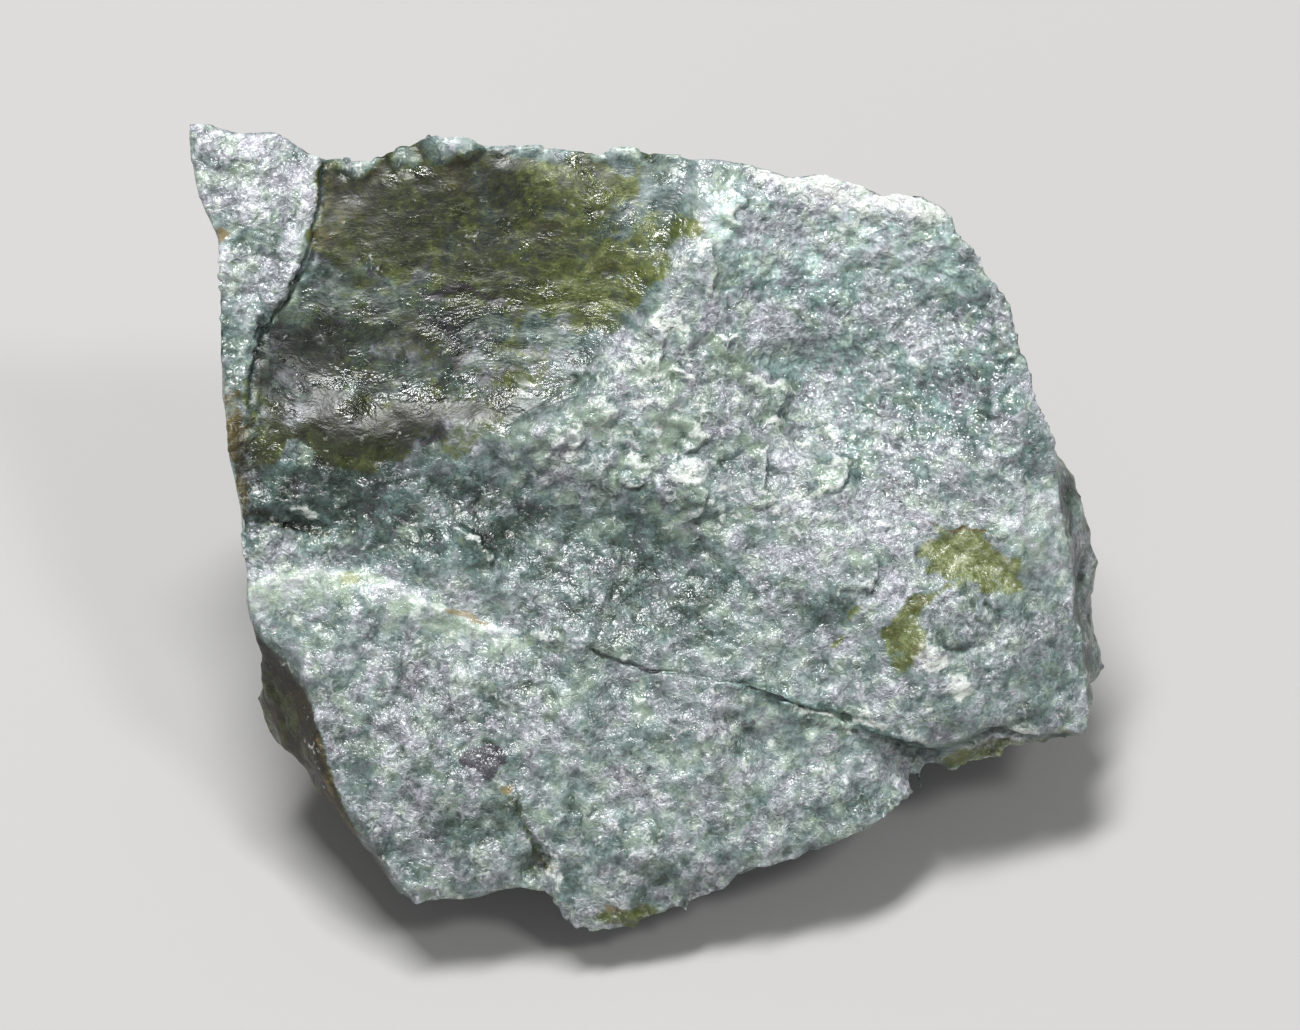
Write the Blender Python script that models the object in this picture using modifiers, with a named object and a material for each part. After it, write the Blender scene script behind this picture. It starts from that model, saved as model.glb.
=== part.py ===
"""Raw jade: one broken piece of rough, standing on a flat joint face.

Run with: blender --background --python part.py

Metres, +Z up. The origin is under the middle of the stone, on the surface that it stands on.
The broad fracture face looks to the front (-Y) and up. Its own frame is used for almost
everything: right and up lie in the face, and back runs into the stone. Sizes in that frame
are in millimetres, as (right, up) or (right, up, back) from the middle of the face.

The stone is made as it broke: a block with the face's outline is split along flat joints and
loses flakes, then its face is carved and all its broken ground is roughened.
"""

import math
from typing import NamedTuple

import bmesh
import bpy
from mathutils import Matrix, Vector, noise

MM = 0.001
NAME = "jade_stone"

# ---- Driving dimensions, in millimetres and degrees ----

FACE_ELEVATION = 50.0  # how far above level the broad face looks
FACE_MIDDLE = (0.0, -1.70, 17.4)  # the middle of the face, from the origin
BLOCK_DEPTH = 44.0  # of the rough block, before it is split
OUTLINE_ALLOWANCE = 1.012  # the block starts this much larger, because carving rounds its edges
BASE_ALLOWANCE = 1.2  # left under the base until the last cut
CELL = 0.34  # of the remeshed surface that the relief is carved in
RELIEF_DEPTH = 9.0  # how far behind the face its relief has died away
TRIANGLES = 9300

FACE_RIGHT = Vector((1.0, 0.0, 0.0))
FACE_UP = Vector((0.0, math.sin(math.radians(FACE_ELEVATION)), math.cos(math.radians(FACE_ELEVATION))))
FACE_OUT = Vector((0.0, -math.cos(math.radians(FACE_ELEVATION)), math.sin(math.radians(FACE_ELEVATION))))

# The stone's outline, seen square on to the face, clockwise from the tip of the spur.
TOP_EDGE = [
    (-23.3, 19.3), (-22.5, 19.8), (-21.4, 19.5), (-20.5, 19.2), (-18.5, 19.2), (-17.5, 18.8),
    (-16.6, 18.1), (-16.35, 17.5), (-15.9, 18.0), (-15.0, 17.9), (-14.4, 17.5), (-13.6, 17.7),
    (-12.9, 18.1), (-12.2, 18.2), (-11.5, 18.7), (-10.8, 19.2), (-10.0, 19.35), (-9.1, 19.2),
    (-8.2, 18.5), (-6.0, 18.6), (-4.5, 18.8), (-3.5, 18.8), (-3.0, 18.3), (-0.6, 18.6),
    (1.1, 18.0), (4.6, 17.8), (6.8, 16.95), (8.6, 17.0), (10.5, 16.6), (11.3, 16.1),
    (12.3, 16.25), (14.6, 15.95),
]
RIGHT_EDGE = [
    (15.1, 15.7), (15.6, 14.3), (16.6, 13.15), (17.4, 11.95), (18.1, 10.75), (18.6, 8.7),
    (19.5, 6.8), (19.8, 5.4), (20.6, 3.8), (21.7, 1.5), (22.4, 0.0), (22.9, -2.8),
    (22.9, -5.5), (23.2, -8.2), (23.4, -10.3), (23.3, -12.0),
]
BOTTOM_EDGE = [
    (20.5, -11.75), (18.1, -12.2), (17.7, -12.7), (16.2, -12.7), (15.5, -13.2), (12.5, -14.9),
    (11.0, -15.8), (7.5, -17.4), (4.8, -17.8), (4.3, -18.4), (2.7, -20.0), (1.5, -20.8),
    (0.0, -21.2), (-1.8, -21.2), (-4.1, -20.7), (-4.9, -19.7), (-5.5, -18.6), (-7.2, -18.8),
    (-9.0, -19.4), (-11.0, -19.5), (-11.9, -19.9),
]
LEFT_EDGE = [
    (-12.8, -19.8), (-13.9, -18.3), (-15.0, -16.8), (-15.8, -15.3), (-16.7, -14.0), (-17.2, -12.7),
    (-18.4, -11.7), (-20.2, -10.2), (-19.9, -9.2), (-19.9, -6.2), (-20.1, -4.7), (-20.3, -2.2),
    (-20.6, -0.7), (-20.6, 0.6), (-20.9, 2.3), (-21.2, 5.7), (-21.3, 8.2), (-21.6, 11.2),
    (-21.7, 13.5), (-22.6, 15.8), (-22.8, 17.3),
]


class Split(NamedTuple):
    """A flat break through the block. facing is the way it looks within the face, in degrees
    anticlockwise from right; taper is how far it turns to the back, and is negative where the
    stone widens behind the face."""

    at: tuple
    facing: float
    taper: float


SPLITS = {
    "left_wall": Split((-23.0, 18.6, 3.0), 185.0, 9.0),
    "weathered_flank": Split((-15.9, -13.75, 0.0), 203.0, -31.0),
    "weathered_foot": Split((-13.6, -16.9, 0.0), 213.0, -28.0),
    "undercut_front": Split((-2.0, -21.3, 1.4), 265.0, 24.0),
    "undercut_right": Split((9.5, -16.4, 1.4), 293.0, 20.0),
    "right_wall_lower": Split((21.3, -3.0, 0.0), 8.0, -24.0),
    "right_wall_back": Split((22.9, -6.0, 9.0), 2.0, 16.0),
    "right_wall_upper": Split((18.3, 10.4, 4.0), 25.0, 14.0),
    "top_bevel": Split((3.0, 18.1, 1.6), 87.0, 18.0),
    "back_wall": Split((0.0, 16.2, 9.5), 93.0, 44.0),
    "back_left": Split((-18.5, 12.0, 14.0), 138.0, 38.0),
    "back_right": Split((15.0, 9.5, 13.5), 48.0, 36.0),
    "back_foot": Split((2.0, 11.0, 20.0), 101.0, 58.0),
}


class Scar(NamedTuple):
    """The hollow that a flake left: a ball whose surface just bites into the stone.
    at is the deepest point of the bite, and out is the way that the flake left, in the face's frame."""

    at: tuple
    out: tuple
    radius: float


SCARS = {
    "weathered_flank": Scar((-17.3, -8.4, 0.5), (-0.78, -0.38, -0.50), 5.0),
    "back_main": Scar((-4.0, 12.6, 17.0), (0.12, 0.70, 0.70), 26.0),
    "back_low_right": Scar((10.5, 6.5, 20.0), (0.55, 0.45, 0.70), 17.0),
    "left_low": Scar((-19.1, 2.0, 14.5), (-0.97, -0.05, 0.25), 21.0),
    "left_high": Scar((-20.4, 13.5, 9.0), (-0.92, 0.25, 0.30), 12.0),
    "right_high": Scar((18.6, 6.3, 9.5), (0.90, 0.30, 0.30), 15.0),
    "under_lip": Scar((-8.4, -17.6, 3.4), (-0.10, -0.80, 0.60), 9.0),
    "under_corner": Scar((18.4, -12.8, 3.2), (0.05, -0.85, 0.52), 5.0),
    "top_nick": Scar((9.8, 15.3, 5.2), (0.10, 0.92, 0.38), 10.0),
}


class Hollow(NamedTuple):
    """An oval dip in the face, or a swell where depth is negative. turn is anticlockwise."""

    middle: tuple
    radii: tuple
    turn: float
    depth: float


HOLLOWS = {
    "slick": Hollow((-7.5, 10.6), (10.5, 7.5), -12.0, 1.0),
    "slick_pocket": Hollow((-14.6, 7.0), (5.6, 2.7), -10.0, 0.8),
    "bowl": Hollow((10.6, 8.6), (8.6, 9.0), -20.0, 1.7),
    "middle_trough": Hollow((-9.5, 0.2), (12.0, 3.4), -7.0, 0.6),
    "dark_trough": Hollow((-0.5, -2.4), (8.5, 4.2), -22.0, 0.6),
    "stain_scar": Hollow((16.0, -2.4), (2.9, 2.2), -12.0, 0.35),
    "arc_scar": Hollow((12.4, -6.2), (1.4, 3.0), -20.0, 0.3),
    "chip_pocket": Hollow((-5.9, -17.6), (1.1, 1.4), -25.0, 0.9),
    "lower_swell": Hollow((-4.0, -11.5), (15.0, 6.5), 8.0, -0.7),
    "corner_swell": Hollow((15.5, -7.2), (6.5, 4.6), 10.0, -0.7),
    "shoulder_swell": Hollow((19.6, -1.4), (2.6, 2.6), 0.0, -0.5),
    "top_lump": Hollow((-9.9, 18.7), (2.0, 1.4), 0.0, -0.8),
    "flake_a": Hollow((4.6, 5.0), (2.6, 1.7), -25.0, -0.6),
    "flake_b": Hollow((8.9, 1.7), (2.0, 1.7), -20.0, -0.55),
    "flake_c": Hollow((0.8, 5.3), (2.0, 1.6), 15.0, -0.4),
    "flake_d": Hollow((-5.2, 4.2), (1.6, 1.0), 20.0, -0.35),
    "flake_e": Hollow((2.6, 1.2), (1.9, 1.2), -35.0, -0.35),
}
HOLLOW_SHAPE = 1.3  # 1 is a plain bowl, and more is softer at the rim


class Ledge(NamedTuple):
    """A step along a line. The ground on the line's right, going along it, drops by drop across
    the riser and comes back up over reach. The step dies away towards the line's two ends."""

    line: list
    drop: float
    reach: float
    riser: float


LEDGES = {
    "spur_scarp": Ledge(
        [(-20.6, 2.6), (-20.2, 5.4), (-19.9, 8.4), (-19.0, 9.9), (-17.8, 11.2), (-17.3, 13.0),
         (-16.7, 15.0), (-16.3, 18.0), (-16.2, 21.5)],
        0.75, 7.0, 0.3,
    ),
    "slick_rim": Ledge(
        [(3.0, 21.0), (2.2, 18.2), (1.4, 13.6), (0.1, 10.4), (-0.9, 9.6), (-2.9, 6.6), (-6.5, 4.3),
         (-9.2, 3.2)],
        0.45, 5.0, 1.2,
    ),
    "bowl_rim": Ledge(
        [(10.2, 0.6), (9.4, 2.3), (7.6, 3.0), (6.6, 4.7), (7.4, 5.9), (6.4, 6.9), (5.2, 7.5), (4.6, 9.6)],
        0.7, 4.0, 0.4,
    ),
    "lower_lip": Ledge(
        [(-4.8, -6.5), (-6.3, -6.3), (-8.5, -5.4), (-12.5, -3.7), (-16.0, -2.8), (-18.0, -3.0),
         (-22.5, -4.4)],
        0.5, 3.0, 0.5,
    ),
    "fissure_thin": Ledge(
        [(-8.0, -6.2), (-4.4, -6.3), (-2.4, -7.0), (0.1, -7.9), (2.2, -8.0), (4.6, -8.5), (8.0, -9.7)],
        0.4, 4.0, 0.3,
    ),
    "fissure_wide": Ledge(
        [(2.4, -8.1), (4.6, -8.5), (7.5, -9.5), (10.0, -10.3), (12.3, -11.5), (14.3, -12.1), (18.6, -13.4)],
        1.3, 5.0, 0.7,
    ),
    "corner_lip": Ledge(
        [(11.6, -11.2), (13.6, -11.7), (15.6, -11.8), (17.5, -11.1), (19.5, -11.2), (25.0, -11.4)],
        1.5, 3.0, 0.6,
    ),
}
LEDGE_END_FADE = 3.5  # the length over which a ledge's ends die away

# The crack that runs in from the left rim.
NOTCH_LINE = [(-23.5, -0.4), (-20.6, -0.4), (-18.6, -0.2), (-15.0, -0.7)]
NOTCH_DEPTH = 1.1
NOTCH_HALF_WIDTH = 0.6

# The crest between the slick and the bowl.
CREST_LINE = [(5.2, 20.0), (4.3, 17.6), (2.2, 13.2), (0.4, 9.4), (-2.0, 6.4), (-5.0, 4.4), (-9.0, 2.8)]
CREST_HEIGHT = 0.7
CREST_HALF_WIDTH = 3.6
CREST_SHAPE = 1.4  # 1 is a plain roof, and more is sharper at the top

# Where the face turns away at its edges: a line, the way down, and the drop over a run.
FALLS = {
    "right": ((17.5, 0.0), (1.0, 0.0), 0.17),
    "corner": ((13.5, -6.0), (0.83, -0.56), 0.18),
    "lobe": ((0.0, -17.2), (0.1, -1.0), 0.45),
    "left": ((-19.0, -8.0), (-0.85, -0.5), 0.20),
    "top": ((0.0, 16.6), (0.1, 1.0), 0.30),
}
FACE_DIP = 0.045  # how much further back the face lies for each step to the right
WANDER = ((0.45, 0.40, 3.7), (1.3, 0.14, 9.1))  # how lines on it waver: (waves, reach, seed)

FACING = (0.55, 0.90)  # how squarely ground looks out: side wall below, broad face above
FACE_SKIN = (0.3, 1.5)  # how far behind its plane ground is all face, and no longer face


class Dishes(NamedTuple):
    """Shallow flake dishes that meet at sharp ridges: how wide they are, how deep for their
    width, and how far each one is tipped."""

    width: float
    depth: float
    tip: float


FLAKED_SIDES = (Dishes(7.5, 0.42, 0.9), Dishes(3.0, 0.30, 0.8), Dishes(1.5, 0.20, 0.8))
GRAINY_FACE = (Dishes(5.2, 0.15, 0.7), Dishes(2.1, 0.20, 0.9), Dishes(1.2, 0.16, 0.9))
RIDGE_LEVEL = 0.52  # where dishes are cut off by the ground that is left between them
DISH_SEED = 9.0
BASE_GUARD = (-1.2, 1.3)  # the height over which flaking grows to its full depth
RIM_GUARD = (-1.0, 5.0)  # the distance behind the face over which it does
SLICK_GRAIN = 0.35  # how much of the face's grain is left in the smooth dip

JADE_GREEN = (0.30, 0.40, 0.32, 1.0)


def face_matrix():
    """Takes (right, up, out) in the face's frame to world space, in the same unit."""
    turn = Matrix((FACE_RIGHT, FACE_UP, FACE_OUT)).transposed().to_4x4()
    return Matrix.Translation(Vector(FACE_MIDDLE) * MM) @ turn


def face_vector(right, up, back):
    """A direction in the face's frame, as a world vector."""
    return FACE_RIGHT * right + FACE_UP * up - FACE_OUT * back


def face_point(right, up, back):
    """A point in the face's frame, in millimetres, as a world position in metres."""
    return (Vector(FACE_MIDDLE) + face_vector(right, up, back)) * MM


def smooth_step(low, high, value):
    """0 below low and 1 above high, with an even curve between them."""
    share = min(1.0, max(0.0, (value - low) / (high - low)))
    return share * share * (3.0 - 2.0 * share)


def clear_scene():
    for obj in list(bpy.data.objects):
        bpy.data.objects.remove(obj)


def new_collection(name):
    collection = bpy.data.collections.new(name)
    bpy.context.scene.collection.children.link(collection)
    return collection


def as_mesh_object(source, name, collection):
    """A welded mesh object from what a curve or a modifier stack makes; the source is removed."""
    bpy.context.view_layer.update()
    evaluated = source.evaluated_get(bpy.context.evaluated_depsgraph_get())
    mesh = bpy.data.meshes.new_from_object(evaluated)
    mesh.transform(source.matrix_world)
    bpy.data.objects.remove(source)
    work = bmesh.new()
    work.from_mesh(mesh)
    bmesh.ops.remove_doubles(work, verts=work.verts, dist=0.01 * MM)
    work.to_mesh(mesh)
    work.free()
    made = bpy.data.objects.new(name, mesh)
    collection.objects.link(made)
    return made


def rough_block(collection):
    """The outline, extruded straight back from the face."""
    outline = TOP_EDGE + RIGHT_EDGE + BOTTOM_EDGE + LEFT_EDGE
    curve = bpy.data.curves.new("outline", "CURVE")
    curve.dimensions = "2D"
    curve.fill_mode = "BOTH"
    curve.extrude = BLOCK_DEPTH * MM / 2
    spline = curve.splines.new("POLY")
    spline.points.add(len(outline) - 1)
    for point, (right, up) in zip(spline.points, outline):
        point.co = (right * OUTLINE_ALLOWANCE * MM, up * OUTLINE_ALLOWANCE * MM, 0.0, 1.0)
    spline.use_cyclic_u = True
    block = bpy.data.objects.new("outline", curve)
    collection.objects.link(block)
    block.matrix_world = face_matrix() @ Matrix.Translation((0.0, 0.0, -BLOCK_DEPTH * MM / 2))
    return as_mesh_object(block, NAME, collection)


def cut_flat(work, point, normal):
    """Takes away what lies beyond a plane, and closes the cut."""
    everything = work.verts[:] + work.edges[:] + work.faces[:]
    cut = bmesh.ops.bisect_plane(
        work, geom=everything, dist=0.001 * MM, plane_co=point, plane_no=normal, clear_outer=True
    )
    rim = [item for item in cut["geom_cut"] if isinstance(item, bmesh.types.BMEdge)]
    bmesh.ops.holes_fill(work, edges=rim, sides=0)


def split_block(stone):
    """Breaks the block along its flat joints, and along the base."""
    work = bmesh.new()
    work.from_mesh(stone.data)
    for split in SPLITS.values():
        facing, taper = math.radians(split.facing), math.radians(split.taper)
        normal = face_vector(
            math.cos(taper) * math.cos(facing), math.cos(taper) * math.sin(facing), math.sin(taper)
        )
        cut_flat(work, face_point(*split.at), normal)
    cut_flat(work, Vector((0.0, 0.0, -BASE_ALLOWANCE * MM)), Vector((0.0, 0.0, -1.0)))
    bmesh.ops.recalc_face_normals(work, faces=work.faces)
    work.to_mesh(stone.data)
    work.free()


def knock_off_flakes(stone, cutters):
    """Bites the flake scars out of the back and sides."""
    for name, scar in SCARS.items():
        out = face_vector(*scar.out).normalized()
        middle = face_point(*scar.at) + out * scar.radius * MM
        bpy.ops.mesh.primitive_ico_sphere_add(subdivisions=5, radius=scar.radius * MM, location=middle)
        ball = bpy.context.object
        ball.name = "scar_" + name
        ball.hide_render = True
        ball.display_type = "WIRE"
        for holder in list(ball.users_collection):
            holder.objects.unlink(ball)
        cutters.objects.link(ball)
        bite = stone.modifiers.new("scar_" + name, "BOOLEAN")
        bite.operation = "DIFFERENCE"
        bite.object = ball


def even_surface(stone, collection):
    """Applies what is on the stone and gives it an even, closed skin of small cells."""
    remesh = stone.modifiers.new("skin", "REMESH")
    remesh.mode = "VOXEL"
    remesh.voxel_size = CELL * MM
    return as_mesh_object(stone, NAME, collection)


def follow(line, right, up):
    """(gap, side, share) of a place and a line: its distance; the same, below 0 on the line's
    left; and how much of the line's effect is left there, which falls to 0 at its two ends."""
    gap, side, travelled, walked = 1e9, 0.0, 0.0, 0.0
    for (ax, ay), (bx, by) in zip(line, line[1:]):
        dx, dy = bx - ax, by - ay
        reach = math.hypot(dx, dy)
        along = ((right - ax) * dx + (up - ay) * dy) / reach
        held = min(reach, max(0.0, along))
        here = math.hypot(right - ax - dx * held / reach, up - ay - dy * held / reach)
        if here < gap:
            gap, travelled = here, walked + held
            side = math.copysign(here, (right - ax) * dy - (up - ay) * dx)
        walked += reach
    share = smooth_step(0.0, LEDGE_END_FADE, travelled)
    share *= smooth_step(0.0, LEDGE_END_FADE, walked - travelled)
    return gap, side, share


def hollow_inside(hollow, right, up):
    """1 in the middle of an oval and 0 from its rim outwards."""
    turn = math.radians(hollow.turn)
    dx, dy = right - hollow.middle[0], up - hollow.middle[1]
    along = (dx * math.cos(turn) + dy * math.sin(turn)) / hollow.radii[0]
    across = (dy * math.cos(turn) - dx * math.sin(turn)) / hollow.radii[1]
    return max(0.0, 1.0 - along * along - across * across)


def ledge_relief(ledge, right, up):
    gap, side, share = follow(ledge.line, right, up)
    if side < -ledge.riser or gap > ledge.reach:
        return 0.0
    riser = smooth_step(-ledge.riser / 2, ledge.riser / 2, side)
    ramp = 1.0 - smooth_step(0.0, ledge.reach, max(0.0, side))
    return -ledge.drop * riser * ramp * share


def face_relief(right, up):
    """How far the face stands out of its plane at a place on it, in millimetres."""
    x, y = right, up
    for waves, reach, seed in WANDER:
        shift = noise.noise_vector(Vector((right, up, seed)) * waves) * reach
        x, y = x + shift.x, y + shift.y
    relief = -FACE_DIP * right
    relief -= sum(hollow.depth * hollow_inside(hollow, x, y) ** HOLLOW_SHAPE for hollow in HOLLOWS.values())
    relief += sum(ledge_relief(ledge, x, y) for ledge in LEDGES.values())
    for (edge_x, edge_y), (way_x, way_y), slope in FALLS.values():
        beyond = (right - edge_x) * way_x + (up - edge_y) * way_y
        relief -= slope * max(0.0, beyond)
    gap, _, share = follow(CREST_LINE, x, y)
    relief += CREST_HEIGHT * share * max(0.0, 1.0 - gap / CREST_HALF_WIDTH) ** CREST_SHAPE
    gap, _, share = follow(NOTCH_LINE, x, y)
    relief -= NOTCH_DEPTH * share * max(0.0, 1.0 - gap / NOTCH_HALF_WIDTH)
    return relief


def dish_relief(dishes, place):
    """How far a flaked surface lies under its unbroken ground at a place, as 0 or less."""
    spot = place / dishes.width
    heights = []
    for distance, middle in zip(*noise.voronoi(spot)):
        tilt = noise.cell_vector(middle * DISH_SEED) - Vector((0.5, 0.5, 0.5))
        heights.append(distance * distance + dishes.tip * tilt.dot(spot - middle))
    return (min(RIDGE_LEVEL, *heights) - RIDGE_LEVEL) * dishes.width * dishes.depth


def roughness(place, right, up, back, looks_out):
    """How far broken ground stands out along its normal, in millimetres: grainy on the broad
    face, nearly smooth in its slick dip, and flaked on the sides and back."""
    on_face = smooth_step(*FACING, looks_out) * (1.0 - smooth_step(*FACE_SKIN, back))
    in_slick = smooth_step(0.0, 0.3, hollow_inside(HOLLOWS["slick"], right, up))
    grainy = on_face * (1.0 - (1.0 - SLICK_GRAIN) * in_slick)
    flaked = (1.0 - on_face) * smooth_step(*RIM_GUARD, back) * smooth_step(*BASE_GUARD, place.z)
    height = grainy * sum(dish_relief(dishes, place) for dishes in GRAINY_FACE)
    return height + flaked * sum(dish_relief(dishes, place) for dishes in FLAKED_SIDES)


def sculpt(stone):
    """Carves the face's relief, which dies away behind it, and roughens all broken ground."""
    to_face = face_matrix().inverted()
    normals = [item.vector.copy() for item in stone.data.vertex_normals]
    for vertex, normal in zip(stone.data.vertices, normals):
        local = to_face @ vertex.co / MM
        right, up, back = local.x, local.y, -local.z
        rough = roughness(vertex.co / MM, right, up, back, normal.dot(FACE_OUT))
        fade = max(0.0, 1.0 - back / RELIEF_DEPTH)
        relief = face_relief(right, up) * fade if fade > 0.0 else 0.0
        vertex.co += (normal * rough + FACE_OUT * relief) * MM


def thin_out(stone, collection):
    """Keeps small triangles where the surface bends and large ones where it is flat."""
    stone.data.calc_loop_triangles()
    thin = stone.modifiers.new("thin", "DECIMATE")
    thin.ratio = TRIANGLES / len(stone.data.loop_triangles)
    thin.use_collapse_triangulate = True
    return as_mesh_object(stone, NAME, collection)


def cut_base(stone):
    """The flat joint face that the stone stands on."""
    work = bmesh.new()
    work.from_mesh(stone.data)
    cut_flat(work, Vector((0.0, 0.0, 0.0)), Vector((0.0, 0.0, -1.0)))
    bmesh.ops.recalc_face_normals(work, faces=work.faces)
    work.to_mesh(stone.data)
    work.free()


def dress(stone):
    material = bpy.data.materials.new("jade")
    material.use_nodes = True
    shader = material.node_tree.nodes["Principled BSDF"]
    shader.inputs["Base Color"].default_value = JADE_GREEN
    shader.inputs["Roughness"].default_value = 0.38
    shader.inputs["Metallic"].default_value = 0.0
    stone.data.materials.clear()
    stone.data.materials.append(material)
    stone.data.shade_smooth()
    stone.data.set_sharp_from_angle(angle=math.radians(32.0))


def main():
    clear_scene()
    parts = new_collection("raw_jade")
    cutters = new_collection("cutters")
    stone = rough_block(parts)
    split_block(stone)
    knock_off_flakes(stone, cutters)
    stone = even_surface(stone, parts)
    sculpt(stone)
    stone = thin_out(stone, parts)
    cut_base(stone)
    dress(stone)
    return stone


if __name__ == "__main__":
    main()
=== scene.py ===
"""Raw jade: the looks of one broken piece of rough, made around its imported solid."""

import itertools
import logging
import math
from collections.abc import Iterator, Sequence
from dataclasses import dataclass, field
from enum import Enum

import bpy
import numpy as np
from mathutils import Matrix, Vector


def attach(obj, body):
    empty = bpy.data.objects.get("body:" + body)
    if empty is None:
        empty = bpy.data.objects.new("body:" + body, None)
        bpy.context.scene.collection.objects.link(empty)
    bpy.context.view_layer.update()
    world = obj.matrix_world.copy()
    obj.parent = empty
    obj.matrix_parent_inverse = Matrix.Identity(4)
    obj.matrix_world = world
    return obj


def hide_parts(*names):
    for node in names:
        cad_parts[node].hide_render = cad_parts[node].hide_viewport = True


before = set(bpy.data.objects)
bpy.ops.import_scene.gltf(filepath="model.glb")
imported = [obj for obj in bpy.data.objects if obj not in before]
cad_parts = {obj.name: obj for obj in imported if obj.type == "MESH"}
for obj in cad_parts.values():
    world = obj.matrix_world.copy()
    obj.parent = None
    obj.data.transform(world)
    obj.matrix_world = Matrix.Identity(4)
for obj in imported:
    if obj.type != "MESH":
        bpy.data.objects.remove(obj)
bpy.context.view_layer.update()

MM = 0.001
STONE_NODE = "jade_stone"
FAR = 1e9

logging.basicConfig(level=logging.INFO, format="%(message)s")
log = logging.getLogger("raw_jade")


# ---------------------------------------------------------------- places and noise


def ease(low: float, high: float, value: np.ndarray) -> np.ndarray:
    """An even curve from 0 at low to 1 at high.

    Args:
        low: where the curve leaves 0.
        high: where it reaches 1; it may be below low.
        value: the numbers to ease.

    Returns:
        The eased numbers, from 0 to 1.
    """
    share = np.clip((value - low) / (high - low), 0.0, 1.0)
    return share * share * (3.0 - 2.0 * share)


@dataclass(frozen=True)
class BroadFace:
    """The frame of the broad fracture face: right and up lie in it, and back runs into the stone."""

    elevation: float = 50.0
    middle: tuple[float, float, float] = (0.0, -1.70, 17.4)

    @property
    def right(self) -> Vector:
        """The way to the right along the face."""
        return Vector((1.0, 0.0, 0.0))

    @property
    def up(self) -> Vector:
        """The way up along the face."""
        lean = math.radians(self.elevation)
        return Vector((0.0, math.sin(lean), math.cos(lean)))

    @property
    def out(self) -> Vector:
        """The way that the face looks."""
        lean = math.radians(self.elevation)
        return Vector((0.0, -math.cos(lean), math.sin(lean)))

    def place(self, points: np.ndarray) -> np.ndarray:
        """Where points lie in the face's frame.

        Args:
            points: world positions in millimetres, one a row.

        Returns:
            Rows of (right, up, back) in millimetres from the middle of the face.
        """
        axes = np.array([self.right, self.up, -self.out])
        return (points - np.array(self.middle)) @ axes.T

    def points(self, place: np.ndarray) -> np.ndarray:
        """The world positions of rows of (right, up, back), in millimetres."""
        return place @ np.array([self.right, self.up, -self.out]) + np.array(self.middle)


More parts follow.
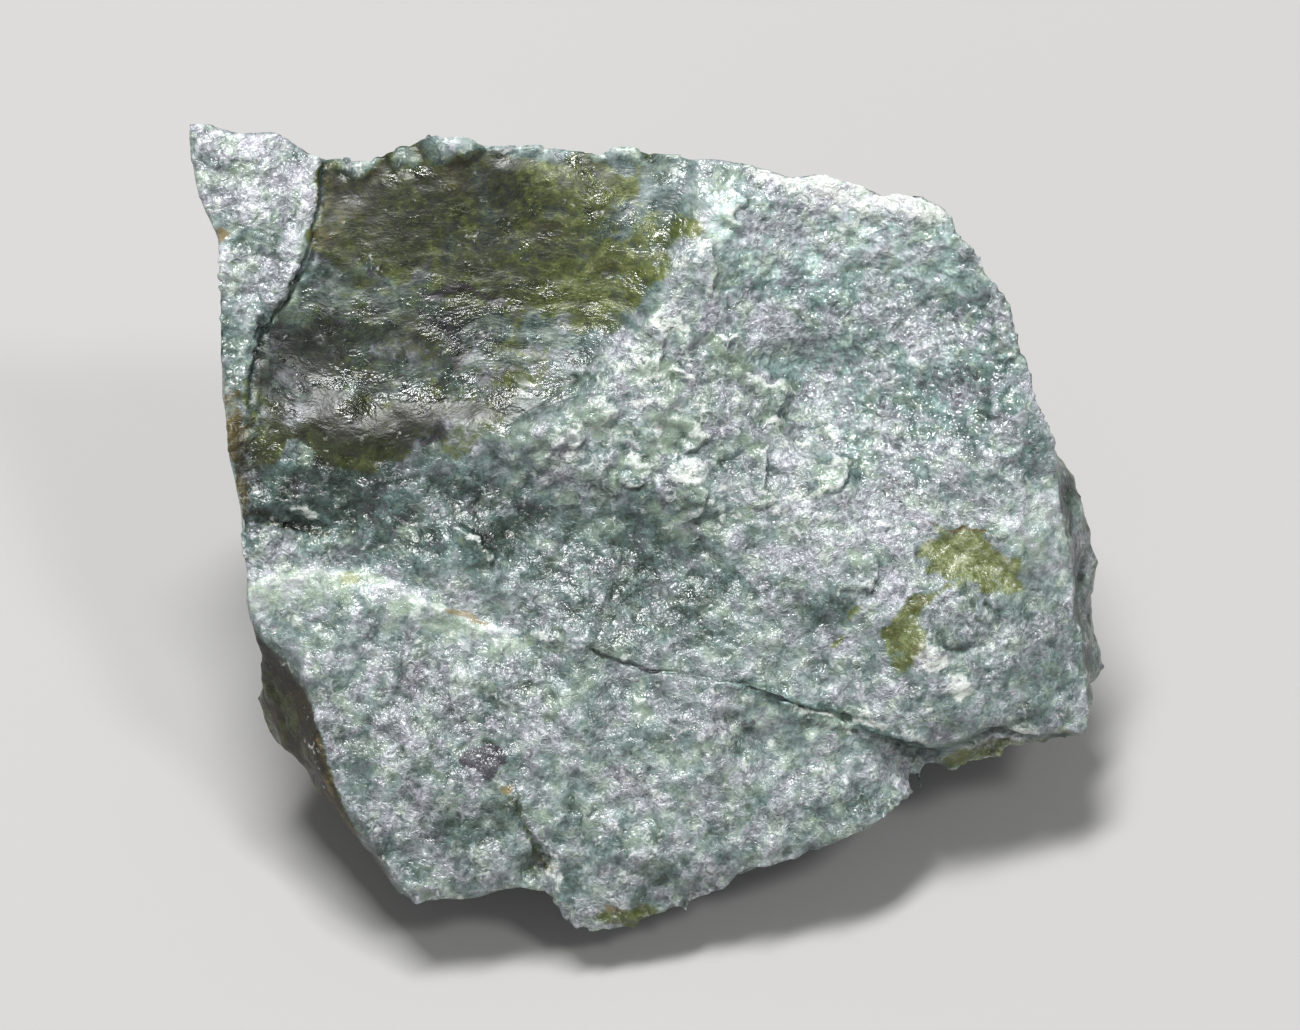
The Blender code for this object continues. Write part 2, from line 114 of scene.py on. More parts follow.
@dataclass(frozen=True)
class Noise:
    """Seeded noise over points in millimetres."""

    seed: int

    def scatter(self, cells: np.ndarray, salt: int) -> np.ndarray:
        """Even random numbers.

        Args:
            cells: whole-numbered cells, one a row.
            salt: tells apart the numbers that one cell has.

        Returns:
            One number from 0 to 1 for each cell.
        """
        start = (self.seed * 1013904223 + salt * 1664525 + 12345) & 0xFFFFFFFF
        mixed = np.full(len(cells), start, np.uint32)
        for axis, prime in enumerate((73856093, 19349663, 83492791)):
            mixed ^= (cells[:, axis].astype(np.int64) * prime & 0xFFFFFFFF).astype(np.uint32)
            mixed *= np.uint32(2654435761)
            mixed ^= mixed >> np.uint32(15)
        return mixed / 2.0**32

    def waves(self, points: np.ndarray, width: float, octaves: int = 1) -> np.ndarray:
        """Smooth noise.

        Args:
            points: positions, one a row.
            width: the size of its features.
            octaves: how many finer layers it has.

        Returns:
            Numbers from -1 to 1.
        """
        total, reach, loud = np.zeros(len(points)), 0.0, 1.0
        for octave in range(octaves):
            spot = points / width + 17.3 * octave
            home = np.floor(spot)
            share = spot - home
            share = share**3 * (share * (share * 6.0 - 15.0) + 10.0)
            for corner in itertools.product((0.0, 1.0), repeat=3):
                weight = np.where(corner, share, 1.0 - share).prod(axis=1)
                total += loud * weight * (2.0 * self.scatter(home + corner, octave) - 1.0)
            reach += loud
            loud *= 0.5
            width *= 0.5
        return total / reach * 1.6

    def seeds(self, spot: np.ndarray) -> Iterator[tuple[np.ndarray, np.ndarray, np.ndarray]]:
        """Goes through the seeds around each spot.

        Args:
            spot: positions in cell widths, one a row.

        Yields:
            The way from a seed to each spot, the seed's tilt and its lift from 0 to 1.
        """
        home = np.floor(spot)
        for step in itertools.product((-1.0, 0.0, 1.0), repeat=3):
            cell = home + step
            middle = cell + np.stack([self.scatter(cell, salt) for salt in (1, 2, 3)], axis=1)
            tilt = np.stack([self.scatter(cell, salt) for salt in (4, 5, 6)], axis=1) - 0.5
            yield spot - middle, tilt, self.scatter(cell, 7)

    def dishes(self, points: np.ndarray, width: float, tip: float = 0.9, lift: float = 0.0) -> np.ndarray:
        """Dishes that meet at sharp ridges, as flakes leave them.

        Args:
            points: positions, one a row.
            width: the size of a dish.
            tip: how far each one is tipped.
            lift: how much higher some lie than others.

        Returns:
            Heights in dish widths, about 0 in a dish and 0.6 on a ridge.
        """
        lowest = np.full(len(points), FAR)
        for away, tilt, raised in self.seeds(points / width):
            height = (away * away).sum(axis=1) + tip * (away * tilt).sum(axis=1) + lift * raised
            lowest = np.minimum(lowest, height)
        return lowest

    def plates(
        self,
        points: np.ndarray,
        width: float,
        tip: float,
        lift: float,
        lean: Sequence[float],
        soft: float = 0.1,
    ) -> np.ndarray:
        """Flat plates that end in steps, like shingles.

        Args:
            points: positions, one a row.
            width: the size of a plate.
            tip: how far each one is tipped its own way.
            lift: how much higher some lie than others.
            lean: the slope that all share, as a vector towards their high side.
            soft: how wide the steps are, in plate widths.

        Returns:
            Heights in plate widths.
        """
        near, next_near = np.full(len(points), FAR), np.full(len(points), FAR)
        top, under = np.zeros(len(points)), np.zeros(len(points))
        for away, tilt, raised in self.seeds(points / width):
            gap = np.sqrt((away * away).sum(axis=1))
            height = (away * (tip * tilt + np.array(lean))).sum(axis=1) + lift * raised
            first, second = gap < near, gap < next_near
            under = np.where(first, top, np.where(second, height, under))
            next_near = np.where(first, near, np.where(second, gap, next_near))
            top, near = np.where(first, height, top), np.where(first, gap, near)
        share = 0.5 + 0.5 * ease(0.0, soft, next_near - near)
        return top * share + under * (1.0 - share)


@dataclass(frozen=True)
class Wander:
    """How far, how coarsely and by which seed places on the face are shifted, so that drawn edges waver."""

    reach: float
    width: float
    seed: int

    def shift(self, place: np.ndarray) -> np.ndarray:
        """Shifts places on the face.

        Args:
            place: rows of (right, up, back).

        Returns:
            Rows of (right, up).
        """
        flat = np.column_stack([place[:, :2], np.zeros(len(place))])
        shift = [Noise(self.seed + axis).waves(flat, self.width, 2) * self.reach for axis in (0, 1)]
        return place[:, :2] + np.column_stack(shift)


GROUND_WANDER = Wander(0.30, 0.9, 11)
SLICK_WANDER = Wander(0.8, 2.2, 12)
FLAKE_WANDER = Wander(0.38, 0.75, 13)
OLIVE_WANDER = Wander(1.3, 1.6, 14)
STAIN_WANDER = Wander(0.16, 0.6, 15)
STEP_WANDER = Wander(0.12, 0.8, 16)
MARK_WANDER = Wander(0.45, 1.5, 51)


# ---------------------------------------------------------------- shapes drawn on the face


@dataclass(frozen=True)
class Trace:
    """A line drawn on the face, in millimetres as (right, up)."""

    points: tuple[tuple[float, float], ...]
    half_width: float

    def legs(self, spots: np.ndarray) -> Iterator[tuple]:
        """Goes along the line's straight legs.

        Args:
            spots: rows of (right, up).

        Yields:
            A leg's run and length; each spot's way from its start; how far along it lies; and how far off.
        """
        for start, end in zip(self.points, self.points[1:]):
            run = np.subtract(end, start)
            length = float(np.hypot(*run))
            away = spots - start
            held = np.clip(away @ run / length, 0.0, length)
            yield run, length, away, held, np.hypot(*(away - held[:, None] * run / length).T)

    def follow(self, spots: np.ndarray) -> tuple[np.ndarray, np.ndarray, np.ndarray]:
        """How spots lie to the line.

        Args:
            spots: rows of (right, up).

        Returns:
            The distance from the line; the same, below 0 on the line's left; and how far along it is.
        """
        gap = np.full(len(spots), FAR)
        side, travelled, walked = np.zeros(len(spots)), np.zeros(len(spots)), 0.0
        for run, length, away, held, here in self.legs(spots):
            cross = away[:, 0] * run[1] - away[:, 1] * run[0]
            nearer = here < gap
            gap = np.where(nearer, here, gap)
            side = np.where(nearer, np.copysign(here, cross), side)
            travelled = np.where(nearer, walked + held, travelled)
            walked += length
        return gap, side, travelled / walked

    def across(self, spots: np.ndarray) -> np.ndarray:
        """The way from the line's left to its right beside each spot.

        Args:
            spots: rows of (right, up).

        Returns:
            Rows of (right, up), of length 1.
        """
        ways, gap = np.zeros_like(spots), np.full(len(spots), FAR)
        for run, length, _, _, here in self.legs(spots):
            nearer = here < gap
            gap = np.where(nearer, here, gap)
            ways = np.where(nearer[:, None], np.array((run[1], -run[0])) / length, ways)
        return ways

    def near(self, spots: np.ndarray) -> np.ndarray:
        """1 on the line, and 0 from its half width outwards."""
        return 1.0 - ease(0.0, self.half_width, self.follow(spots)[0])


@dataclass(frozen=True)
class Oval:
    """An oval on the face; turn is anticlockwise, in degrees."""

    middle: tuple[float, float]
    radii: tuple[float, float]
    turn: float = 0.0

    def inside(self, spots: np.ndarray) -> np.ndarray:
        """How deep inside the oval spots lie.

        Args:
            spots: rows of (right, up).

        Returns:
            1 in the oval's middle, and 0 from its rim outwards.
        """
        turn = math.radians(self.turn)
        away = spots - np.array(self.middle)
        along = (away[:, 0] * math.cos(turn) + away[:, 1] * math.sin(turn)) / self.radii[0]
        across = (away[:, 1] * math.cos(turn) - away[:, 0] * math.sin(turn)) / self.radii[1]
        return np.clip(1.0 - along**2 - across**2, 0.0, 1.0)

    def cover(self, spots: np.ndarray, soft: float = 0.6) -> np.ndarray:
        """0 outside the oval and 1 inside it, past a soft rim."""
        return ease(0.0, soft, self.inside(spots))


@dataclass(frozen=True)
class Patch:
    """An area of the face inside an outline, with a soft edge."""

    outline: tuple[tuple[float, float], ...]
    edge: float = 0.9

    def cover(self, spots: np.ndarray) -> np.ndarray:
        """How far spots lie inside the outline.

        Args:
            spots: rows of (right, up).

        Returns:
            1 well inside it and 0 well outside it.
        """
        gap, _, _ = Trace((*self.outline, self.outline[0]), 1.0).follow(spots)
        inside = np.zeros(len(spots), bool)
        for (ax, ay), (bx, by) in zip(self.outline, self.outline[1:] + self.outline[:1]):
            spans = (ay > spots[:, 1]) != (by > spots[:, 1])
            rise = (by - ay) if by != ay else 1e-9
            inside ^= spans & (spots[:, 0] < (bx - ax) * (spots[:, 1] - ay) / rise + ax)
        return ease(-self.edge, self.edge, np.where(inside, gap, -gap))


@dataclass(frozen=True)
class Step:
    """A step whose slope is drawn together: where its middle and ends lie, and how strongly."""

    edge: Trace
    middle: float
    reach: float
    share: float = 1.0
    far_share: float = 1.0


# The areas of the face.
SPUR = Patch(
    ((-24.5, 21.0), (-16.3, 19.5), (-16.4, 18.0), (-16.7, 15.0), (-17.4, 12.6), (-18.6, 10.6), (-19.6, 9.2),
     (-20.1, 6.0), (-22.5, 5.6), (-23.5, 14.0)), 0.15,
)
SLICK = Patch(
    ((-16.3, 19.5), (-16.7, 15.0), (-17.4, 12.6), (-18.6, 10.6), (-19.7, 9.0), (-20.2, 5.6), (-18.0, 4.4),
     (-14.0, 3.7), (-10.0, 3.4), (-6.0, 4.3), (-2.6, 6.6), (-0.8, 9.6), (1.2, 13.7), (2.8, 19.5)), 1.3,
)
BOWL = Patch(
    ((3.6, 16.2), (9.5, 16.3), (14.8, 15.2), (17.0, 11.5), (18.8, 6.5), (19.4, 2.6), (15.5, 1.4),
    (10.8, 1.8),
     (8.6, 4.4), (7.0, 6.6), (4.8, 8.2), (3.8, 11.5)), 1.6,
)
SCALES = Patch(
    ((1.0, 10.2), (4.0, 9.0), (6.9, 7.2), (7.2, 5.0), (9.6, 3.8), (10.4, 1.2), (7.0, -1.0), (1.0, -0.6),
     (-3.4, 1.4), (-6.4, 3.4), (-2.0, 6.4)), 1.4,
)
TEAL_STEP = Patch(
    ((-21.5, 3.6), (-14.0, 3.2), (-9.0, 2.0), (-5.5, 0.4), (-7.5, -2.6), (-12.0, -2.4), (-16.0, -1.6),
    (-21.5, -1.4)),
    1.5,
)
TROUGH = Patch(
    ((-9.0, 1.6), (-3.0, 2.0), (2.6, -0.4), (5.0, -3.6), (3.4, -6.6), (-0.8, -7.2), (-4.8, -5.8),
    (-8.0, -3.4)), 1.8,
)
LOWER_BLOCK = Patch(
    ((-23.0, -3.8), (-16.0, -2.9), (-12.5, -3.7), (-8.5, -5.4), (-4.4, -6.4), (0.1, -8.0), (4.6, -8.6),
     (10.0, -10.4), (15.0, -12.4), (15.0, -24.0), (-23.0, -24.0)), 0.4,
)
STAIN = Patch(
    ((14.2, -0.5), (15.2, -0.85), (15.9, -0.6), (16.75, -0.6), (17.6, -1.95), (18.55, -2.1), (18.7, -2.9),
     (18.4, -3.2), (18.9, -3.9), (17.0, -4.1), (16.5, -3.6), (15.2, -3.35), (13.8, -2.8), (13.95, -2.3),
     (13.35, -2.1), (13.6, -1.6), (14.4, -1.1)), 0.22,
)
STAIN_TAIL = Patch(
    ((13.8, -3.9), (14.95, -3.4), (15.5, -3.6), (14.2, -4.2), (13.7, -4.7), (13.55, -5.4), (13.7, -6.0),
     (13.35, -7.65), (12.7, -7.9), (12.0, -7.65), (11.7, -6.8), (11.75, -5.8), (12.85, -4.3)), 0.3,
)
# The top edge's rim, painted near white: partly the stone's pale edge, partly painted highlight where the
# light catches it.
PALE_LIT_RIM = Patch(
    ((4.6, 18.6), (5.0, 17.0), (8.0, 15.6), (12.0, 15.2), (14.8, 14.8), (15.4, 17.0), (9.0, 18.0)), 0.7,
)
SHOULDER = Patch(((17.4, 1.2), (20.8, 1.6), (22.2, -1.0), (21.0, -3.0), (19.2, -2.6), (18.2, -0.6)), 0.8)
CORNER_CHIP = Patch(
    ((14.6, -12.1), (17.6, -11.3), (20.6, -11.2), (24.0, -11.6), (24.0, -14.0), (14.6, -14.0)), 0.3,
)

# The lines on the face.
SPUR_EDGE = Trace(
    ((-20.1, 5.4), (-19.7, 9.0), (-18.6, 10.6), (-17.4, 12.6), (-16.7, 15.0), (-16.4, 18.0),
    (-16.2, 21.0)), 0.4,
)
CREST = Trace(
    ((5.0, 18.0), (3.4, 15.2), (2.2, 13.4), (0.4, 9.8), (-1.6, 7.0), (-5.0, 4.6), (-7.0, 3.9)), 1.7,
)
SLICK_ARC = Trace(
    ((-20.2, 8.2), (-19.9, 6.4), (-18.8, 5.0), (-16.5, 4.1), (-14.0, 3.9), (-11.8, 4.5), (-8.6, 4.7),
    (-5.6, 5.5)), 1.5,
)
LIP = Trace(
    ((-20.6, -4.2), (-19.4, -3.3), (-17.9, -2.9), (-15.5, -2.85), (-13.4, -3.15), (-12.0, -3.95),
    (-10.0, -4.8),
     (-8.4, -5.35), (-7.2, -6.0)), 0.42,
)
CRACK = Trace(
    ((-4.0, -6.2), (-2.3, -6.95), (0.0, -7.75), (1.4, -7.95), (4.7, -8.4), (7.5, -9.4), (10.0, -10.2),
     (12.4, -11.4), (14.5, -12.1)), 0.15,
)
RISER = Trace(
    ((4.7, -8.45), (7.2, -9.45), (9.5, -10.1), (11.6, -10.95), (12.9, -11.5), (14.0, -12.15)), 0.62,
)
RISER_TOP = Trace(((9.6, -9.7), (11.6, -10.3), (12.9, -10.9), (13.9, -11.6)), 0.3)
RISER_FOOT = Trace(((7.3, -9.9), (9.7, -10.7), (11.1, -11.2)), 0.22)
LEFT_CRACK = Trace(((-22.0, -0.9), (-20.4, -0.5), (-19.6, -0.3), (-18.2, -0.45), (-16.2, -0.75)), 0.32)
RUST_LINE = Trace(((-10.3, -4.75), (-9.2, -5.0), (-8.1, -5.45)), 0.26)
STAIN_LINE = Trace(((9.0, -6.3), (9.7, -5.5), (10.5, -5.1)), 0.3)
HAIRLINE = Trace(((-6.9, -14.2), (-6.2, -15.6), (-5.6, -16.8), (-5.1, -17.8)), 0.24)
FLAKE_EDGES = (
    Trace(((4.1, 8.3), (4.6, 7.5), (5.2, 6.9), (6.1, 6.8), (6.9, 6.4), (7.3, 5.9), (6.9, 5.3),
    (6.0, 4.8)), 2.0),
    Trace(((0.8, 5.1), (1.9, 4.7), (2.9, 3.9), (2.3, 3.2), (1.2, 3.1)), 1.3),
    Trace(((-3.4, 6.2), (-2.4, 5.7), (-1.7, 5.0), (-2.2, 4.2)), 1.3),
    Trace(((-4.6, 4.7), (-3.8, 4.6), (-3.6, 3.8), (-4.4, 3.2), (-5.4, 3.3)), 1.1),
    Trace(((-0.9, 3.1), (-0.2, 2.4), (-0.4, 1.7), (-1.4, 1.2)), 1.1),
    Trace(((8.9, 3.3), (9.8, 2.6), (9.9, 1.5), (9.0, 0.9), (7.8, 0.8)), 1.7),
    Trace(((0.2, 10.4), (0.7, 9.2), (0.9, 8.2), (0.3, 7.4)), 1.2),
    Trace(((1.2, 7.8), (2.0, 6.9), (1.6, 6.2)), 1.0),
    Trace(((3.4, 9.2), (4.1, 9.0), (4.7, 8.1)), 1.0),
    Trace(((5.9, 3.0), (6.1, 2.0), (6.0, 1.0), (5.2, 0.2)), 1.2),
    Trace(((2.4, 1.9), (3.2, 1.2), (2.8, 0.3), (1.8, -0.2)), 1.3),
    Trace(((4.0, 16.6), (4.6, 15.2), (4.3, 14.0)), 1.0),
    Trace(((2.6, 13.6), (3.3, 12.4), (3.0, 11.2)), 1.0),
    Trace(((10.4, -1.6), (11.4, -2.4), (11.0, -3.6), (9.6, -4.2)), 1.5),
    Trace(((-9.8, -0.6), (-8.4, -1.0), (-7.6, -2.0), (-8.4, -2.9)), 1.2),
    Trace(((17.2, 10.0), (18.2, 8.6), (18.0, 7.2)), 1.2),
)
FACE_RIM = Trace(
    ((-20.3, -4.6), (-19.75, -5.85), (-18.1, -7.6), (-17.15, -8.85), (-16.3, -11.0), (-15.55, -13.85),
     (-14.45, -16.55), (-12.7, -18.85), (-11.2, -20.6)), 0.5,
)
SLICK_CUTS = (
    Trace(((-11.2, 10.9), (-9.8, 11.2), (-7.6, 10.9)), 0.34),
    Trace(((-11.0, 9.7), (-10.0, 9.0), (-8.9, 8.3), (-9.6, 7.3)), 0.34),
    Trace(((-10.9, 4.9), (-10.7, 4.2), (-11.1, 3.5)), 0.36),
)

STEPS = (
    Step(CRACK, 0.05, 1.0, far_share=0.35),
    Step(SPUR_EDGE, 0.06, 0.60),
    Step(LIP, 0.05, 0.60, share=0.45, far_share=0.45),
)

# How far the lower block rises at the crack's start, and each change with where it begins and ends.
BLOCK_START = 0.12
BLOCK_RISES = (
    (0.28, 0.24, 0.34), (0.66, 0.34, 0.44), (0.12, 0.46, 0.56), (-0.16, 0.58, 0.66), (-0.56, 0.66, 0.80),
)

# The spots on the face.
OLIVE_POOLS = (
    (1.00, Oval((-13.2, 15.2), (5.6, 4.0), 10.0)), (0.85, Oval((-4.0, 17.2), (6.4, 2.1), -4.0)),
    (0.62, Oval((-0.9, 12.6), (2.4, 3.4), -24.0)), (0.78, Oval((-6.6, 12.8), (7.2, 4.4), 10.0)),
    (0.60, Oval((-19.4, 5.0), (1.9, 2.8))), (1.00, Oval((-14.6, 4.4), (6.6, 1.9), 3.0)),
    (0.50, Oval((-9.0, 5.6), (5.6, 2.4), 12.0)), (0.34, Oval((-12.5, 9.0), (9.0, 4.2))),
)
DARK_POOLS = (
    (0.15, Oval((-13.4, 8.4), (6.4, 2.4), 6.0)), (0.17, Oval((-14.6, 4.5), (6.2, 1.8), 2.0)),
    (0.10, Oval((-13.6, 15.6), (4.6, 3.2), 10.0)), (0.12, Oval((-15.0, 1.8), (5.4, 1.9), -8.0)),
    (0.12, Oval((-14.4, -9.6), (6.0, 5.0))),
)
# Paler areas: partly the stone's paler green, partly painted light that lifts places the lamps leave dim,
# such as the bowl's top, which faces down, and the right edge.
PALE_AND_LIT_POOLS = (
    (0.22, Oval((8.6, 13.8), (7.6, 3.8), -8.0)), (0.16, Oval((14.2, 13.2), (2.2, 2.6))),
    (0.16, Oval((-2.4, 17.0), (6.0, 2.0), -4.0)), (0.08, Oval((4.6, 10.6), (2.6, 4.6), 20.0)),
    (0.07, Oval((19.0, 1.0), (3.0, 9.0))), (0.05, Oval((2.0, -12.0), (8.0, 4.0))),
)
GREEN_SPOTS = (
    Oval((-19.2, 14.0), (1.9, 1.1), 20.0), Oval((-20.9, 17.2), (0.8, 0.6)), Oval((-19.4, 9.2), (0.9, 1.6)),
)
PURPLE_SPOT = Oval((-8.3, -12.3), (1.0, 0.9))
VIOLET_SPOTS = (
    Oval((15.8, 6.8), (2.0, 1.6), -20.0), Oval((12.6, 0.9), (1.6, 1.0)), Oval((3.4, -17.2), (1.4, 1.2)),
    Oval((11.8, 5.0), (1.5, 1.2)), Oval((4.4, -10.6), (2.4, 1.0), -20.0), Oval((-2.6, -2.6),
    (2.2, 1.4), 20.0),
    Oval((-12.0, -8.8), (3.0, 1.2), -15.0), Oval((-0.6, -12.8), (2.4, 1.2), -20.0),
)
RUST_SPOTS = (
    Oval((-7.1, -13.4), (0.4, 0.35)), Oval((-2.0, -19.9), (0.6, 0.35)), Oval((-21.6, 13.9), (0.6, 0.6)),
)
PIT = Oval((-5.9, -17.5), (0.9, 1.0), -25.0)
RING = Oval((15.9, -5.3), (1.9, 1.7))
PALE_LUMPS = (
    Oval((14.05, -6.95), (0.6, 0.55)), Oval((15.2, -8.55), (0.9, 0.8)), Oval((-17.45, 0.35),
    (1.2, 0.45), -8.0),
    Oval((-5.6, -6.1), (0.8, 0.25), 5.0), Oval((2.0, 2.2), (1.1, 0.8), 30.0), Oval((-5.2, -17.9),
    (0.7, 0.35), -60.0),
    Oval((10.6, 14.3), (1.3, 0.35), -12.0), Oval((18.4, -10.95), (1.3, 0.4), 4.0),
)
OLIVE_SPOTS = (
    Oval((-15.1, -3.25), (0.7, 0.45)), Oval((16.2, -12.3), (1.4, 0.4), -8.0), Oval((-1.0, -20.4),
    (2.0, 0.7)),
)
TOP_BUMPS = (
    Oval((-9.9, 18.6), (1.7, 1.0)), Oval((-12.4, 17.8), (1.0, 0.7)), Oval((-14.6, 17.4), (1.1, 0.7)),
    Oval((-5.6, 18.4), (2.2, 0.6)), Oval((-1.4, 18.2), (1.8, 0.6)), Oval((-7.6, 18.3), (0.9, 0.6)),
)


class Mark(Enum):
    """What the stone's finish reads from its mesh, from 0 to 1 at each point."""

    # How pale the ground is; it also carries painted shade and painted light.
    TONE = "tone"
    FROST = "frost"
    LIME = "lime"
    CRUMB = "crumb"
    OLIVE = "olive"
    RIND = "rind"
    TEAL = "teal"
    VIOLET = "violet"
    RUST = "rust"
    STREAK = "streak"
    GLOSS = "gloss"


# The marks that grow where the ground bulges and shrink in its hollows: above which value, and by how much.
# This paints shade into the hollows. The paleness on the ridges is partly the stone's pale flake rims and
# partly painted highlight.
BULGE_SHADE_SHARES = {Mark.TONE: (-FAR, 0.14), Mark.FROST: (0.05, 0.20), Mark.CRUMB: (0.08, 0.22)}

FLOW = "flow"  # places drawn out along the slick dip's grain, in metres


# ---------------------------------------------------------------- shader building


class Value:
    """A shader socket whose arithmetic adds Math nodes."""

    def __init__(self, tree: bpy.types.NodeTree, socket: bpy.types.NodeSocket) -> None:
        """Wraps a socket of a node tree."""
        self.tree = tree
        self.socket = socket

    def math(self, operation: str, *others: "Value | float", flip: bool = False) -> "Value":
        """Adds one Math node.

        Args:
            operation: the node's operation.
            others: its further operands.
            flip: whether this value is the second operand.

        Returns:
            The node's result.
        """
        node = self.tree.nodes.new("ShaderNodeMath")
        node.operation = operation
        operands = [self, *others]
        if flip:
            operands.reverse()
        for plug, operand in zip(node.inputs, operands):
            if isinstance(operand, Value):
                self.tree.links.new(operand.socket, plug)
            else:
                plug.default_value = operand
        return Value(self.tree, node.outputs[0])

    def __add__(self, other: "Value | float") -> "Value":
        """This plus other."""
        return self.math("ADD", other)

    def __sub__(self, other: "Value | float") -> "Value":
        """This minus other."""
        return self.math("SUBTRACT", other)

    def __rsub__(self, other: float) -> "Value":
        """Other minus this."""
        return self.math("SUBTRACT", other, flip=True)

    def __mul__(self, other: "Value | float") -> "Value":
        """This times other."""
        return self.math("MULTIPLY", other)

    __radd__ = __add__
    __rmul__ = __mul__

    def clamp(self) -> "Value":
        """This, held between 0 and 1."""
        return self.math("MAXIMUM", 0.0).math("MINIMUM", 1.0)

    def fibre(self, width: float) -> "Value":
        """1 where this crosses 0, falling to 0 at width on both sides: thin curved lines, for noise."""
        return (1.0 - self.math("ABSOLUTE") * (1.0 / width)).clamp()

    def step(self, low: float, high: float) -> "Value":
        """An even curve of this value.

        Args:
            low: where it is 0.
            high: where it reaches 1; it may be below low.

        Returns:
            The eased value.
        """
        node = self.tree.nodes.new("ShaderNodeMapRange")
        node.interpolation_type = "SMOOTHSTEP"
        self.tree.links.new(self.socket, node.inputs["Value"])
        node.inputs["From Min"].default_value = low
        node.inputs["From Max"].default_value = high
        return Value(self.tree, node.outputs["Result"])


def linear(red: int, green: int, blue: int) -> tuple[float, float, float, float]:
    """The linear colour that a shader takes.

    Args:
        red: the screen colour's red, from 0 to 255.
        green: its green.
        blue: its blue.

    Returns:
        The linear red, green and blue, and 1 for alpha.
    """
    return tuple(
        share / 12.92 if (share := part / 255.0) <= 0.04045 else ((share + 0.055) / 1.055) ** 2.4
        for part in (red, green, blue)
    ) + (1.0,)


class Shader:
    """A new material and the ways to add nodes to it."""

    def __init__(self, name: str) -> None:
        """Makes the material with its Principled BSDF."""
        self.material = bpy.data.materials.new(name)
        self.material.use_nodes = True
        self.tree = self.material.node_tree
        self.surface = self.tree.nodes["Principled BSDF"]

    def node(
        self, kind: str, settings: dict[str, object] | None = None, **sockets: object
    ) -> bpy.types.Node:
        """Adds a node.

        Args:
            kind: its type.
            settings: what is set on the node before its sockets.
            sockets: values or links of its inputs, with _ for a space in their names.

        Returns:
            The node.
        """
        made = self.tree.nodes.new(kind)
        for name, value in (settings or {}).items():
            setattr(made, name, value)
        for name, value in sockets.items():
            self.plug(made.inputs[name.replace("_", " ")], value)
        return made

    def plug(self, plug: bpy.types.NodeSocket, value: object) -> None:
        """Fills an input.

        Args:
            plug: the input.
            value: a Value or an output to link, or a constant.
        """
        if isinstance(value, Value):
            value = value.socket
        if isinstance(value, bpy.types.NodeSocket):
            self.tree.links.new(value, plug)
        else:
            plug.default_value = value

    def mark(self, mark: Mark) -> Value:
        """What the mesh says at each point."""
        node = self.node("ShaderNodeAttribute", {"attribute_name": mark.value})
        return Value(self.tree, node.outputs["Fac"])

    def noise(self, place: object, size: float, detail: float = 2.0, rough: float = 0.55) -> Value:
        """Smooth noise.

        Args:
            place: where it is read.
            size: the size of its features in millimetres.
            detail: how many finer layers it has.
            rough: how strong those are.

        Returns:
            Numbers from about 0.2 to 0.8.
        """
        scale = 1.0 / (size * MM)
        node = self.node("ShaderNodeTexNoise", Vector=place, Scale=scale, Detail=detail, Roughness=rough)
        return Value(self.tree, node.outputs["Fac"])

    def vector(self, operation: str, *operands: object) -> bpy.types.NodeSocket:
        """Adds one Vector Math node.

        Args:
            operation: the node's operation.
            operands: vectors or their sockets.

        Returns:
            The result's socket.
        """
        node = self.node("ShaderNodeVectorMath", {"operation": operation})
        for plug, operand in zip(node.inputs, operands):
            self.plug(plug, operand)
        return node.outputs["Vector"]

    def mix(
        self, share: "Value | float", first: object, second: object, blend: str = "MIX"
    ) -> bpy.types.NodeSocket:
        """Mixes two colours.

        Args:
            share: how much of the second is taken.
            first: a colour or its socket.
            second: a colour or its socket.
            blend: the way of mixing.

        Returns:
            The mixed colour's socket.
        """
        node = self.node("ShaderNodeMix", {"data_type": "RGBA", "blend_type": blend, "clamp_factor": True})
        for plug, value in zip((node.inputs[0], node.inputs[6], node.inputs[7]), (share, first, second)):
            self.plug(plug, value)
        return node.outputs[2]

    def ramp(self, share: Value, stops: Sequence[tuple[float, tuple]]) -> bpy.types.NodeSocket:
        """A colour that runs through stops.

        Args:
            share: where along the ramp the colour is taken.
            stops: pairs of a place from 0 to 1 and a colour.

        Returns:
            The colour's socket.
        """
        node = self.node("ShaderNodeValToRGB")
        elements = node.color_ramp.elements
        while len(elements) < len(stops):
            elements.new(0.5)
        for element, (place, colour) in zip(elements, stops):
            element.position = place
            element.color = colour
        self.plug(node.inputs["Fac"], share)
        return node.outputs["Color"]


